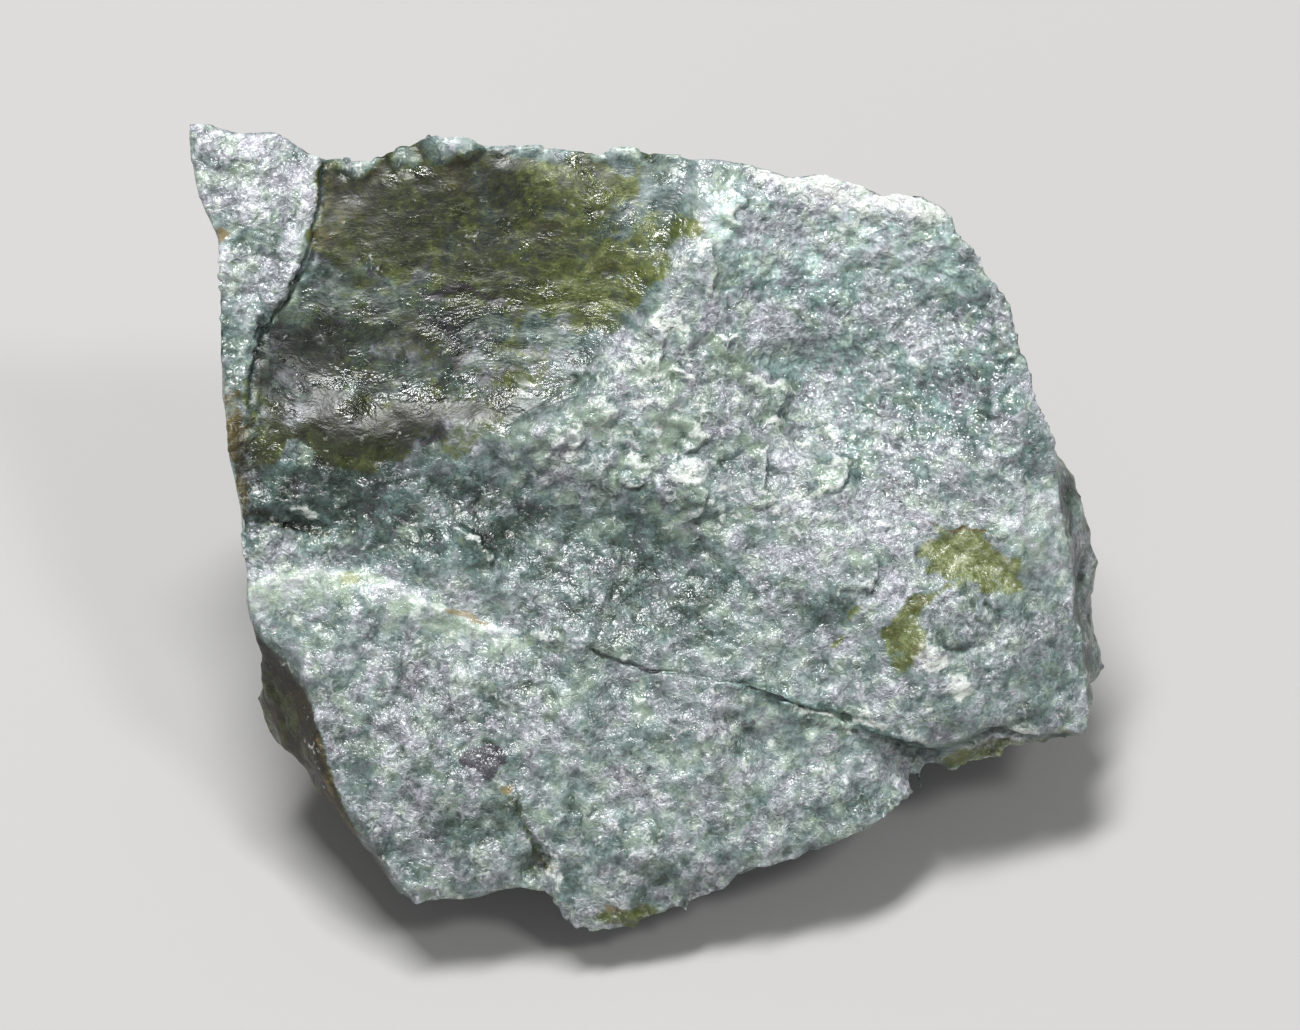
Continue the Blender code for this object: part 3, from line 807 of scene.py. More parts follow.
@dataclass(frozen=True)
class JadeFinish:
    """Raw jade: sugary mottled green, stained olive and brown where weather reached it."""

    jade: tuple = (
        (0.00, linear(22, 31, 26)),
        (0.25, linear(52, 68, 61)),
        (0.45, linear(84, 103, 100)),
        (0.65, linear(120, 138, 136)),
        (0.85, linear(160, 173, 171)),
        (1.00, linear(204, 213, 209)),
    )
    frost: tuple = (
        (0.00, linear(98, 99, 108)),
        (0.40, linear(150, 153, 160)),
        (0.70, linear(188, 191, 197)),
        (1.00, linear(240, 241, 243)),
    )
    olive: tuple = (
        (0.00, linear(20, 23, 2)),
        (0.25, linear(44, 50, 8)),
        (0.50, linear(74, 84, 20)),
        (0.75, linear(112, 121, 66)),
        (1.00, linear(160, 166, 126)),
    )
    rind: tuple = (
        (0.00, linear(20, 16, 4)),
        (0.30, linear(50, 43, 14)),
        (0.60, linear(86, 76, 34)),
        (1.00, linear(132, 120, 80)),
    )
    crumb: tuple = linear(226, 230, 224)
    lime: tuple = linear(152, 170, 147)
    deep: tuple = linear(50, 70, 62)
    teal: tuple = linear(70, 104, 100)
    violet: tuple = linear(52, 44, 56)
    rust: tuple = linear(138, 116, 62)
    lavender: tuple = linear(150, 148, 159)
    pistachio: tuple = linear(148, 166, 145)
    index: float = 1.65
    glow: float = 0.20
    glow_radius: tuple[float, float, float] = (0.6, 1.0, 0.7)
    glow_depth: float = 0.5
    ragged: float = 0.6
    relief: float = 0.15

    def make(self) -> bpy.types.Material:
        """Builds the material."""
        shader = Shader("raw_jade")
        place = shader.node("ShaderNodeTexCoord").outputs["Object"]
        flow = shader.node("ShaderNodeAttribute", {"attribute_name": FLOW}).outputs["Vector"]
        marks = {mark: shader.mark(mark) for mark in Mark}
        bent = self.bend(shader, place)
        zone = self.zone(shader, bent, marks)
        felt = self.felt(shader, bent)
        cluster = (shader.noise(flow, 1.2, 3.0) - 0.62 + marks[Mark.GLOSS] * 0.17).step(-0.04, 0.10)
        sockets = {
            "Base Color": self.colour(shader, bent, flow, zone, felt, marks),
            "Roughness": self.roughness(shader, place, zone, cluster, marks),
            "Normal": self.normal(shader, place, flow, zone, felt, cluster, marks),
            "IOR": self.index,
            "Subsurface Weight": self.glow,
            "Subsurface Radius": self.glow_radius,
            "Subsurface Scale": self.glow_depth * MM,
        }
        for name, value in sockets.items():
            shader.plug(shader.surface.inputs[name], value)
        return shader.material

    def bend(self, shader: Shader, place: object) -> bpy.types.NodeSocket:
        """Shifts places a little, so that grains have ragged outlines.

        Args:
            shader: the material.
            place: positions on the stone.

        Returns:
            The shifted places.
        """
        sway = shader.node("ShaderNodeTexNoise", Vector=place, Scale=1.0 / (0.5 * MM), Detail=2.0)
        centred = shader.vector("SUBTRACT", sway.outputs["Color"], (0.5, 0.5, 0.5))
        reach = self.ragged * MM
        return shader.vector("ADD", place, shader.vector("MULTIPLY", centred, (reach, reach, reach)))

    def zone(self, shader: Shader, bent: object, marks: dict[Mark, Value]) -> Value:
        """Finds where the ground is bruised to lavender-white sugar.

        Args:
            shader: the material.
            bent: positions shifted raggedly.
            marks: what the mesh says.

        Returns:
            How far it is bruised, from 0 to 1.
        """
        veil = shader.noise(bent, 1.9, 3.0, 0.55) - 0.5
        rime = shader.noise(bent, 0.5, 2.0, 0.5) - 0.5
        return (marks[Mark.FROST] + veil * 2.4 + rime * 0.8).step(0.28, 0.86)

    def felt(self, shader: Shader, bent: object) -> Value:
        """Nephrite's felt of fine curved fibres.

        Args:
            shader: the material.
            bent: positions shifted raggedly.

        Returns:
            1 along each fibre, and 0 between them.
        """
        aside = shader.vector("ADD", bent, (3.1 * MM, 7.7 * MM, 5.3 * MM))
        first = (shader.noise(bent, 0.60, 2.0, 0.5) - 0.5).fibre(0.09)
        second = (shader.noise(aside, 0.45, 1.0, 0.5) - 0.5).fibre(0.10)
        return first.math("MAXIMUM", second)

    def colour(
        self, shader: Shader, bent: object, flow: object, zone: Value, felt: Value, marks: dict[Mark, Value]
    ) -> bpy.types.NodeSocket:
        """The stone's colour: green body, frosted where it is bruised, and stained by weather.

        Args:
            shader: the material.
            bent: positions shifted raggedly.
            flow: positions drawn out along the smooth dip.
            zone: where the ground is bruised to sugar.
            felt: the fine fibres.
            marks: what the mesh says.

        Returns:
            The colour's socket.
        """
        run = marks[Mark.STREAK]
        patch = shader.noise(bent, 1.8, 3.0) - 0.5
        clump = shader.noise(bent, 0.62, 3.0, 0.6) - 0.5
        grain = shader.noise(bent, 0.21, 2.0) - 0.5
        level = shader.noise(flow, 0.46, 4.0, 0.65) - 0.5
        fleck = shader.noise(bent, 0.40, 3.0, 0.65) - 0.5
        mottle = patch + clump * 0.55 + grain * 0.50 + felt * 0.10 - 0.03
        rows = level * 0.7 + fleck * 1.25 + patch * 0.6
        tone = (marks[Mark.TONE] + mottle * (1.0 - run) + rows * run).clamp()
        colour = shader.ramp(tone, self.jade)
        hue = shader.noise(bent, 1.4, 3.0) - 0.5
        teal = (marks[Mark.TEAL] - hue * 2.2).step(0.20, 0.90) * (1.0 - run * 0.7)
        colour = shader.mix(teal * 0.30, colour, shader.mix(1.0, colour, self.teal, "COLOR"))
        lime = (marks[Mark.LIME] * 0.7 + hue * 2.8 + clump * 0.5).step(0.32, 0.90) * (1.0 - run)
        colour = shader.mix(lime * 0.60, colour, self.lime)
        sugar = shader.noise(bent, 0.36, 3.0, 0.6) - 0.5
        white = (marks[Mark.FROST] * 0.5 + sugar * 1.1 + grain * 1.2 + felt * 0.30 + 0.06).clamp()
        colour = shader.mix(zone * 0.78, colour, shader.ramp(white, self.frost))
        tint = shader.noise(bent, 1.05, 3.0, 0.5) - 0.5
        cool = shader.mix(1.0, colour, self.lavender, "COLOR")
        colour = shader.mix(tint.step(0.01, 0.14) * 0.50, colour, cool)
        warm = shader.mix(1.0, colour, self.pistachio, "COLOR")
        colour = shader.mix(tint.step(-0.01, -0.14) * 0.50, colour, warm)
        pool = (shader.noise(bent, 0.95, 2.0, 0.5) - 0.5).step(0.07, 0.17) * (1.0 - run)
        colour = shader.mix(pool * (1.15 - marks[Mark.TONE]) * 0.75, colour, self.deep)
        stain = hue * 1.2 + level * 0.8 + fleck
        olive = (marks[Mark.OLIVE] + stain).step(0.12, 0.80) * marks[Mark.OLIVE].step(0.02, 0.20)
        colour = shader.mix(olive * 0.94, colour, shader.ramp(tone, self.olive))
        rind = (marks[Mark.RIND] + stain).step(0.25, 0.85) * marks[Mark.RIND].step(0.02, 0.30)
        colour = shader.mix(rind, colour, shader.ramp(tone, self.rind))
        lump = shader.noise(bent, 0.75, 2.0, 0.55) - 0.5
        crumb = (marks[Mark.CRUMB] * 0.6 + lump * 1.7 + grain).step(0.28, 0.68)
        colour = shader.mix(crumb * 0.70, colour, self.crumb)
        violet = (marks[Mark.VIOLET] + fleck * 1.3 + grain * 1.3).step(0.28, 0.66)
        colour = shader.mix(violet * 0.80, colour, self.violet)
        rust = (marks[Mark.RUST] + clump).step(0.3, 0.8)
        return shader.mix(rust * 0.7, colour, self.rust)

    def roughness(
        self, shader: Shader, place: object, zone: Value, cluster: Value, marks: dict[Mark, Value]
    ) -> Value:
        """Sugary ground is duller than the wet-looking bowl; the smooth dip glints only in clusters.

        Args:
            shader: the material.
            place: positions on the stone.
            zone: where the ground is bruised to sugar.
            cluster: where the smooth dip glints.
            marks: what the mesh says.

        Returns:
            The roughness.
        """
        run = marks[Mark.STREAK]
        shine = marks[Mark.GLOSS] * 0.24 * (1.0 - run) + run * (cluster * 0.24 - 0.06)
        cloud = (shader.noise(place, 0.9) - 0.5) * 0.25
        return 0.38 - shine + cloud + marks[Mark.RIND] * 0.30 + zone * 0.03

    def normal(
        self, shader: Shader, place: object, flow: object, zone: Value, felt: Value, cluster: Value,
        marks: dict[Mark, Value],
    ) -> bpy.types.NodeSocket:
        """The finest ground: felt and small curled crystal faces, and rows of ripples in the smooth dip.

        Args:
            shader: the material.
            place: positions on the stone.
            flow: positions drawn out along the smooth dip.
            zone: where the ground is bruised to sugar.
            felt: the fine fibres.
            cluster: where the smooth dip glints.
            marks: what the mesh says.

        Returns:
            The normal's socket.
        """
        run, gloss = marks[Mark.STREAK], marks[Mark.GLOSS]
        curl = shader.noise(place, 0.42, 1.0, 0.4) * (1.0 - run) * gloss * 1.6
        fibres = felt * (1.0 - run) * (0.10 + zone * 0.12)
        crisp = shader.noise(place, 0.26, 2.0, 0.5) * (1.0 - run)
        crisp = crisp * (0.40 + zone * 0.30) * (1.0 - gloss * 0.5)
        ripple = shader.noise(flow, 0.19, 2.0, 0.55) * run * (0.32 + cluster * 0.32)
        height = curl + fibres + crisp + ripple
        return shader.node(
            "ShaderNodeBump", Height=height, Strength=1.0, Distance=self.relief * MM
        ).outputs["Normal"]


# ---------------------------------------------------------------- the stone


@dataclass
class JadeStone:
    """The stone: its solid's form, remeshed finely, with its ground carved and marked."""

    face: BroadFace = field(default_factory=BroadFace)
    basin: tuple[float, float] = (-14.2, 9.0)
    cell: float = 0.37
    evening: int = 4
    settling: int = 24
    face_turn: tuple[float, float] = (0.40, 0.70)
    face_skin: float = 6.0
    face_depth: float = 7.5
    flake_rise: float = 0.36
    thorn: tuple[float, float] = (0.09, 0.20)
    rim_settling: float = 2.2
    bulge_reach: float = 8.0
    finish: JadeFinish = field(default_factory=JadeFinish)

    def build(self) -> bpy.types.Object:
        """Makes the stone, carves it, marks it and dresses it.

        Returns:
            The finished piece.
        """
        stone = self.copy_solid()
        self.remesh(stone)
        self.refine_face(stone)
        self.even(stone)
        self.sharpen(stone)
        points, normals = self.read(stone)
        face, looks = self.survey(points, normals)
        height = self.face_ground(face, points) * looks + self.side_ground(face, points) * (1.0 - looks)
        height *= ease(0.05, 1.6, points[:, 2])
        points = points + normals * height[:, None]
        points[:, 2] = np.maximum(points[:, 2], 0.0)
        settled = self.settle(stone, points, (looks > 0.02) & (looks < 0.9))
        stone.data.vertices.foreach_set("co", (settled * MM).ravel())
        self.write_marks(stone, points, normals, looks)
        stone.data.update()
        self.dress(stone)
        return stone

    def copy_solid(self) -> bpy.types.Object:
        """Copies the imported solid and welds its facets.

        Returns:
            The copy, as an object of its own.
        """
        bpy.ops.object.select_all(action="DESELECT")
        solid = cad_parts[STONE_NODE]
        stone = solid.copy()
        stone.data = solid.data.copy()
        stone.name = "jade_specimen"
        for key in list(stone.keys()):
            del stone[key]
        stone.parent = None
        bpy.context.scene.collection.objects.link(stone)
        bpy.context.view_layer.objects.active = stone
        stone.select_set(True)
        bpy.ops.object.mode_set(mode="EDIT")
        bpy.ops.mesh.select_all(action="SELECT")
        bpy.ops.mesh.remove_doubles(threshold=0.001 * MM)
        bpy.ops.object.mode_set(mode="OBJECT")
        return stone

    def remesh(self, stone: bpy.types.Object) -> None:
        """Gives the stone an even skin of small cells.

        Args:
            stone: the mesh.
        """
        skin = stone.modifiers.new("skin", "REMESH")
        skin.mode = "VOXEL"
        skin.voxel_size = self.cell * MM
        bpy.ops.object.modifier_apply(modifier=skin.name)

    def refine_face(self, stone: bpy.types.Object) -> None:
        """Halves the cells of the broad face, which has the finest ground.

        Args:
            stone: the mesh.
        """
        mesh = stone.data
        points, normals = self.read(stone)
        place = self.face.place(points)
        chosen = ((normals @ np.array(self.face.out)) > 0.30) & (place[:, 2] < self.face_depth)
        loops = np.zeros(len(mesh.loops), np.int32)
        mesh.loops.foreach_get("vertex_index", loops)
        starts = np.zeros(len(mesh.polygons), np.int32)
        mesh.polygons.foreach_get("loop_start", starts)
        picked = np.logical_and.reduceat(chosen[loops], starts)
        mesh.vertices.foreach_set("select", np.zeros(len(mesh.vertices), bool))
        mesh.edges.foreach_set("select", np.zeros(len(mesh.edges), bool))
        mesh.polygons.foreach_set("select", picked)
        bpy.context.tool_settings.mesh_select_mode = (False, False, True)
        bpy.ops.object.mode_set(mode="EDIT")
        bpy.ops.mesh.subdivide(number_cuts=1)
        bpy.ops.object.mode_set(mode="OBJECT")

    def even(self, stone: bpy.types.Object) -> None:
        """Softens the solid's facets.

        Args:
            stone: the mesh.
        """
        soft = stone.modifiers.new("even", "SMOOTH")
        soft.factor = 0.5
        soft.iterations = self.evening
        bpy.ops.object.modifier_apply(modifier=soft.name)

    def sharpen(self, stone: bpy.types.Object) -> None:
        """Raises the lower block and makes the face's steps steep.

        Args:
            stone: the mesh.
        """
        points, normals = self.read(stone)
        place = self.face.place(points)
        facing = normals @ np.array(self.face.out)
        square = ease(-0.2, 0.2, facing) * (place[:, 2] < self.face_depth)
        spots = STEP_WANDER.shift(place)
        place[:, 2] -= self.block_rise(spots, facing) * square
        for step in STEPS:
            _, side, along = step.edge.follow(spots)
            away = side - step.middle
            held = away * np.minimum(np.abs(away) / step.reach, 1.0)
            share = step.share + (step.far_share - step.share) * ease(0.62, 0.80, along)
            shift = (held - away) * share * square * ease(0.0, 0.08, along) * ease(1.0, 0.92, along)
            across = step.edge.across(place[:, :2])
            place[:, :2] += across * np.where(np.abs(away) < step.reach, shift, 0.0)[:, None]
        stone.data.vertices.foreach_set("co", (self.face.points(place) * MM).ravel())
        stone.data.update()

    def block_rise(self, spots: np.ndarray, facing: np.ndarray) -> np.ndarray:
        """How far the lower block is raised beside the crack.

        Args:
            spots: rows of (right, up) that waver as the steps do.
            facing: how squarely each spot looks out of the face.

        Returns:
            The rise at each spot, in millimetres.
        """
        _, side, along = CRACK.follow(spots)
        rise = BLOCK_START + sum(more * ease(low, high, along) for more, low, high in BLOCK_RISES)
        rise *= ease(-0.45, 0.47, side) * ease(3.6, 0.6, side) * ease(0.93, 0.80, along)
        return rise * np.maximum(ease(0.7, 0.95, facing), ease(0.9, 0.6, np.abs(side)))

    def read(self, stone: bpy.types.Object) -> tuple[np.ndarray, np.ndarray]:
        """Reads the stone's points.

        Args:
            stone: the mesh.

        Returns:
            The points in millimetres and their normals, one a row.
        """
        count = len(stone.data.vertices)
        points, normals = np.zeros(count * 3), np.zeros(count * 3, np.float32)
        stone.data.vertices.foreach_get("co", points)
        stone.data.vertex_normals.foreach_get("vector", normals)
        return points.reshape(-1, 3) / MM, normals.reshape(-1, 3).astype(float)

    def around(self, stone: bpy.types.Object, values: np.ndarray) -> np.ndarray:
        """The mean of each point's neighbours.

        Args:
            stone: the mesh, for its edges.
            values: a row for each point.

        Returns:
            The rows' means.
        """
        ends = np.zeros(len(stone.data.edges) * 2, np.int32)
        stone.data.edges.foreach_get("vertices", ends)
        first, second = ends.reshape(-1, 2).T
        size = len(values)
        count = np.bincount(ends, minlength=size)
        sums = [
            np.bincount(first, row[second], size) + np.bincount(second, row[first], size)
            for row in values.T
        ]
        return np.column_stack(sums) / np.maximum(count, 1)[:, None]

    def survey(self, points: np.ndarray, normals: np.ndarray) -> tuple[np.ndarray, np.ndarray]:
        """Where points lie to the broad face.

        Args:
            points: positions in millimetres.
            normals: the way each one looks.

        Returns:
            Rows of (right, up, back), and how much each point belongs to the broad face.
        """
        place = self.face.place(points)
        square = normals @ np.array(self.face.out)
        shallow = 1.0 - ease(self.face_skin, self.face_skin + 2.0, place[:, 2])
        looks = ease(*self.face_turn, square) * shallow
        _, side, _ = FACE_RIM.follow(place[:, :2])
        off = ease(0.0, 0.3, side) * ease(-3.0, -4.5, place[:, 1]) * ease(-6.0, -9.0, place[:, 0])
        return place, looks * (1.0 - off)

    def face_ground(self, place: np.ndarray, points: np.ndarray) -> np.ndarray:
        """How far the broad face's ground stands out, in millimetres.

        Args:
            place: rows of (right, up, back).
            points: world positions in millimetres.

        Returns:
            The height at each point.
        """
        spots = GROUND_WANDER.shift(place)
        spur = SPUR.cover(spots)
        slick = SLICK.cover(SLICK_WANDER.shift(place)) * (1.0 - spur)
        scales = np.clip(SCALES.cover(spots) + CREST.near(spots), 0.0, 1.0) * (1.0 - slick)
        lean = 0.22 * np.array(self.face.right) - 0.30 * np.array(self.face.up)
        flaked = 0.13 * (Noise(24).plates(points, 1.5, 0.5, 0.40, lean, 0.12) - 0.2)
        flaked -= 0.15 * (Noise(25).dishes(points, 0.75, 0.9, 0.2) - 0.35)
        ground = 0.13 * (Noise(27).plates(points, 1.7, 0.4, 0.30, 0.5 * lean, 0.15) - 0.15)
        ground -= 0.12 * (Noise(22).dishes(points, 0.95, 0.9, 0.2) - 0.4)
        ground += 0.05 * (Noise(23).dishes(points, 0.5) - 0.4)
        ground += 0.09 * Noise(28).waves(points, 0.62, 2)
        height = (1.0 - slick) * (ground * (1.0 + 0.1 * spur) + flaked * scales)
        height += slick * self.ripples(place, points)
        height += 0.16 * (1.0 - slick) * Noise(26).waves(points, 3.2, 2)
        height += self.edges(spots, STEP_WANDER.shift(place))
        return height + (1.0 - slick) * self.flakes(FLAKE_WANDER.shift(place))

    def flakes(self, spots: np.ndarray) -> np.ndarray:
        """Flakes that rise towards a free edge and drop there.

        Args:
            spots: rows of (right, up).

        Returns:
            The height at each spot, in millimetres.
        """
        height = np.zeros(len(spots))
        for edge in FLAKE_EDGES:
            gap, side, along = edge.follow(spots)
            rise = (1.0 - ease(0.0, edge.half_width, gap)) * ease(-0.10, 0.04, side)
            rise *= ease(0.0, 0.15, along) * ease(1.0, 0.85, along)
            height = np.maximum(height, self.flake_rise * rise)
        return height

    def flow(self, place: np.ndarray) -> np.ndarray:
        """Draws places out along the slick dip's grain, which is level above and round in its basin.

        Args:
            place: rows of (right, up, back).

        Returns:
            The places drawn out.
        """
        aside = np.clip(place[:, 0] - self.basin[0], -5.5, 5.5)
        bow = aside * aside / (2.0 * self.basin[1]) * ease(12.0, 7.0, place[:, 1])
        sway = 0.35 * Noise(31).waves(place, 2.6, 2)
        return np.column_stack([place[:, 0] / 1.45, place[:, 1] - bow + sway, place[:, 2]])

    def ripples(self, place: np.ndarray, points: np.ndarray) -> np.ndarray:
        """The slick dip's ripples.

        Args:
            place: rows of (right, up, back).
            points: world positions in millimetres.

        Returns:
            The height at each point, in millimetres.
        """
        drawn = self.flow(place)
        rows = np.sin(2.0 * math.pi * (drawn[:, 1] + 0.5 * Noise(35).waves(place, 2.0, 2)) / 1.8)
        rows *= ease(-9.5, -6.5, place[:, 0]) * ease(15.5, 14.0, place[:, 1])
        height = 0.03 * Noise(32).waves(drawn, 0.8, 2) + 0.05 * (0.4 - Noise(34).dishes(points, 0.8))
        return height + 0.022 * Noise(33).waves(drawn, 0.40, 1) + 0.035 * rows

    def edges(self, spots: np.ndarray, close: np.ndarray) -> np.ndarray:
        """Crisp steps, cracks, pits and lumps on the face.

        Args:
            spots: rows of (right, up) that waver freely.
            close: the same, wavering as the sharpened steps do.

        Returns:
            The height at each spot, in millimetres.
        """
        gap, side, _ = SPUR_EDGE.follow(spots)
        height = 0.26 * (1.0 - ease(0.0, 1.2, gap)) * ease(0.05, -0.05, side)
        height -= 0.06 * (1.0 - ease(0.04, 0.22, np.abs(side - 0.14))) * (gap < 0.6)
        height += 0.34 * ease(0.0, 0.25, side) * ease(2.8, 0.3, side)
        _, side, along = CRACK.follow(close)
        groove = 1.0 - ease(0.0, CRACK.half_width, np.abs(side - 0.05))
        deep = 0.16 * ease(0.36, 0.30, along) + 0.14 * ease(0.44, 0.50, along) * ease(0.72, 0.62, along)
        height -= deep * groove
        height += 0.14 * RISER_TOP.near(spots) + 0.12 * RISER_FOOT.near(spots)
        height -= 0.36 * LEFT_CRACK.near(spots)
        height -= 0.16 * RUST_LINE.near(spots)
        height -= 0.16 * HAIRLINE.near(spots)
        height -= 0.16 * PIT.inside(spots)
        height += 0.12 * LIP.near(spots)
        for cut in SLICK_CUTS:
            height -= 0.10 * cut.near(spots)
        for bump in TOP_BUMPS:
            height += 0.28 * bump.inside(spots)
        ring = RING.inside(spots)
        height += 0.12 * ease(0.35, 0.8, ring) - 0.12 * ease(0.0, 0.3, ring) * ease(0.6, 0.3, ring)
        for lump in PALE_LUMPS:
            height += 0.12 * lump.cover(spots)
        return height

    def side_ground(self, place: np.ndarray, points: np.ndarray) -> np.ndarray:
        """How far the sides' and back's broken ground stands out.

        Args:
            place: rows of (right, up, back).
            points: world positions in millimetres.

        Returns:
            The height at each point, in millimetres.
        """
        height = 0.34 * (Noise(44).plates(points, 3.2, 0.5, 0.3, (0.0, 0.0, 0.0)) - 0.15)
        height += 0.36 * (Noise(42).dishes(points, 1.5) - 0.5)
        height += 0.12 * (Noise(43).dishes(points, 0.7) - 0.5)
        return height * (0.35 + 0.65 * ease(0.0, 3.0, place[:, 2]))

    def settle(self, stone: bpy.types.Object, points: np.ndarray, rim: np.ndarray) -> np.ndarray:
        """Draws thorns back to their neighbours.

        Args:
            stone: the mesh, for its edges.
            points: positions in millimetres.
            rim: True where the face turns into a side, which settles further.

        Returns:
            The positions without thorns.
        """
        for _ in range(self.settling):
            away = self.around(stone, points) - points
            reach = np.where(rim, self.rim_settling, 1.0) * np.linalg.norm(away, axis=1)
            points = points + away * (0.8 * ease(*self.thorn, reach))[:, None]
        points[:, 2] = np.maximum(points[:, 2], 0.0)
        return points

    def bulge(self, stone: bpy.types.Object, points: np.ndarray, normals: np.ndarray) -> np.ndarray:
        """How far each point stands out from its neighbours.

        Args:
            stone: the mesh, for its edges.
            points: positions in millimetres.
            normals: the way each one looks.

        Returns:
            The bulge in hundredths of a millimetre, evened a little.
        """
        spread = points
        for _ in range(4):
            spread = self.around(stone, spread)
        return ((points - spread) * normals).sum(axis=1) * 100.0

    def write_marks(
        self, stone: bpy.types.Object, points: np.ndarray, normals: np.ndarray, looks: np.ndarray
    ) -> None:
        """Stores what the finish reads at each point of the mesh.

        Args:
            stone: the mesh.
            points: positions in millimetres, before they settled.
            normals: the way each one looks.
            looks: how much each point belongs to the broad face.
        """
        place = self.face.place(points)
        front, sides = self.face_marks(place, points), self.side_marks(place, points)
        bulge = np.clip(self.bulge(stone, points, normals) / self.bulge_reach, -1.0, 1.0)
        for mark in Mark:
            values = front[mark] * looks + sides[mark] * (1.0 - looks)
            # Painted shade in hollows, and a partly painted highlight on ridges, by how far each point
            # bulges.
            low, share = BULGE_SHADE_SHARES.get(mark, (0.0, 0.0))
            values = values + share * bulge * (values > low)
            layer = stone.data.attributes.new(mark.value, "FLOAT", "POINT")
            layer.data.foreach_set("value", np.clip(values, 0.0, 1.0).astype(np.float32))
        layer = stone.data.attributes.new(FLOW, "FLOAT_VECTOR", "POINT")
        layer.data.foreach_set("vector", (self.flow(place) * MM).astype(np.float32).ravel())

    def face_marks(self, place: np.ndarray, points: np.ndarray) -> dict[Mark, np.ndarray]:
        """The broad face's marks.

        Args:
            place: rows of (right, up, back).
            points: world positions in millimetres.

        Returns:
            Each mark's value at each point.
        """
        spots = MARK_WANDER.shift(place)
        right, up = place[:, 0], place[:, 1]
        drift = Noise(55).waves(points, 4.5, 3)
        veil = Noise(58).waves(points, 3.2, 3)
        spur, bowl, scales = SPUR.cover(spots), BOWL.cover(spots), SCALES.cover(spots)
        slick = SLICK.cover(SLICK_WANDER.shift(place)) * (1.0 - spur)
        rough = 1.0 - slick
        lower, trough, step = LOWER_BLOCK.cover(spots), TROUGH.cover(spots), TEAL_STEP.cover(spots)
        rim, shoulder, chip = PALE_LIT_RIM.cover(spots), SHOULDER.cover(spots), CORNER_CHIP.cover(spots)
        close = STEP_WANDER.shift(place)
        crest, riser, lip, crack = CREST.near(spots), RISER.near(close), LIP.near(close), CRACK.near(close)
        crest = crest * rough
        _, _, along = CRACK.follow(close)
        crack = crack * (1.0 - ease(0.30, 0.34, along) * ease(0.48, 0.44, along))
        gap, side, _ = LIP.follow(close)
        band = ease(2.1, 0.5, gap) * ease(-0.25, 0.05, side)
        arc = SLICK_ARC.near(spots)
        bumps = np.clip(sum(np.sqrt(bump.inside(spots)) for bump in TOP_BUMPS), 0.0, 1.0)
        lumps = np.clip(sum(lump.cover(spots, 0.5) for lump in PALE_LUMPS), 0.0, 1.0)
        cuts = np.clip(sum(cut.near(spots) for cut in SLICK_CUTS), 0.0, 1.0)
        ring = RING.inside(spots)
        ring_groove_shade = ease(0.0, 0.25, ring) * ease(0.6, 0.3, ring)
        near_spots = STAIN_WANDER.shift(place)
        stain, tail = STAIN.cover(near_spots), STAIN_TAIL.cover(near_spots)
        rim_stain = ease(0.1, 0.5, stain) * ease(0.95, 0.6, stain) * ease(-3.0, -1.5, up)
        left_stain = ease(-19.6, -20.6, right) * ease(-2.0, -0.5, up) * ease(9.0, 4.0, up)
        top = ease(9.5, 13.5, up + 0.1 * right + 1.0)
        fade = ease(8.0, 0.6, CREST.follow(spots)[0])
        # Painted shade on the riser, in the left crack's gap, the pit and the ring's groove. The darker
        # lines along the crack and hairline are partly dark seams and partly painted shade.
        shade_and_seams = 0.12 * riser + 0.20 * crack * (1.0 - riser) + 0.34 * LEFT_CRACK.near(spots) + 0.12 * ring_groove_shade
        shade_and_seams += 0.10 * PIT.inside(spots) + 0.22 * HAIRLINE.near(close)
        chips = [flake.follow(FLAKE_WANDER.shift(place))[:2] for flake in FLAKE_EDGES]
        edge = rough * np.maximum.reduce([ease(0.42, 0.05, gap) * (side > -0.06) for gap, side in chips])
        body = rough * np.maximum.reduce([ease(1.4, 0.4, gap) * (side > 0.0) for gap, side in chips])
        green = np.maximum.reduce([spot.cover(spots) for spot in GREEN_SPOTS])
        plate_low = spur * ease(13.5, 10.0, up)
        blotch = spur * Noise(57).waves(points, 1.1, 2)
        pale = RISER_TOP.near(spots) + 0.8 * RISER_FOOT.near(spots) + lumps + 0.9 * bumps

        # How pale the ground is, with painted shade in recesses, painted light in the pale pools, and a
        # partly painted highlight on the top rim.
        tone = 0.585 + 0.11 * drift + 0.02 * spur - 0.15 * trough - 0.32 * step + 0.02 * bowl
        tone += 0.06 * scales + 0.07 * crest + 0.60 * rim + 0.18 * shoulder + 0.10 * lip
        tone += 0.24 * band - 0.01 * lower
        tone -= 0.10 * lower * ease(-16.0, -19.0, up + 0.25 * right)
        smooth = 0.25 + 0.12 * drift - 0.20 * arc + fade * (0.12 + 0.16 * ease(6.0, 11.0, up))
        for depth, pool in DARK_POOLS:
            dimmer = depth * pool.cover(spots, 0.7)
            smooth, tone = smooth - dimmer, tone - 0.6 * dimmer
        # The pale pools lift the tone: partly paler stone, partly painted light.
        for rise, pool in PALE_AND_LIT_POOLS:
            lighter = rise * pool.cover(spots, 0.8)
            smooth, tone = smooth + lighter, tone + lighter
        tone = (tone + 0.10 * stain - 0.04 * tail) * rough + slick * smooth
        tone += 0.22 * pale - shade_and_seams - 0.22 * cuts
        tone += 0.12 * blotch + 0.12 * bumps - 0.14 * green - 0.06 * plate_low
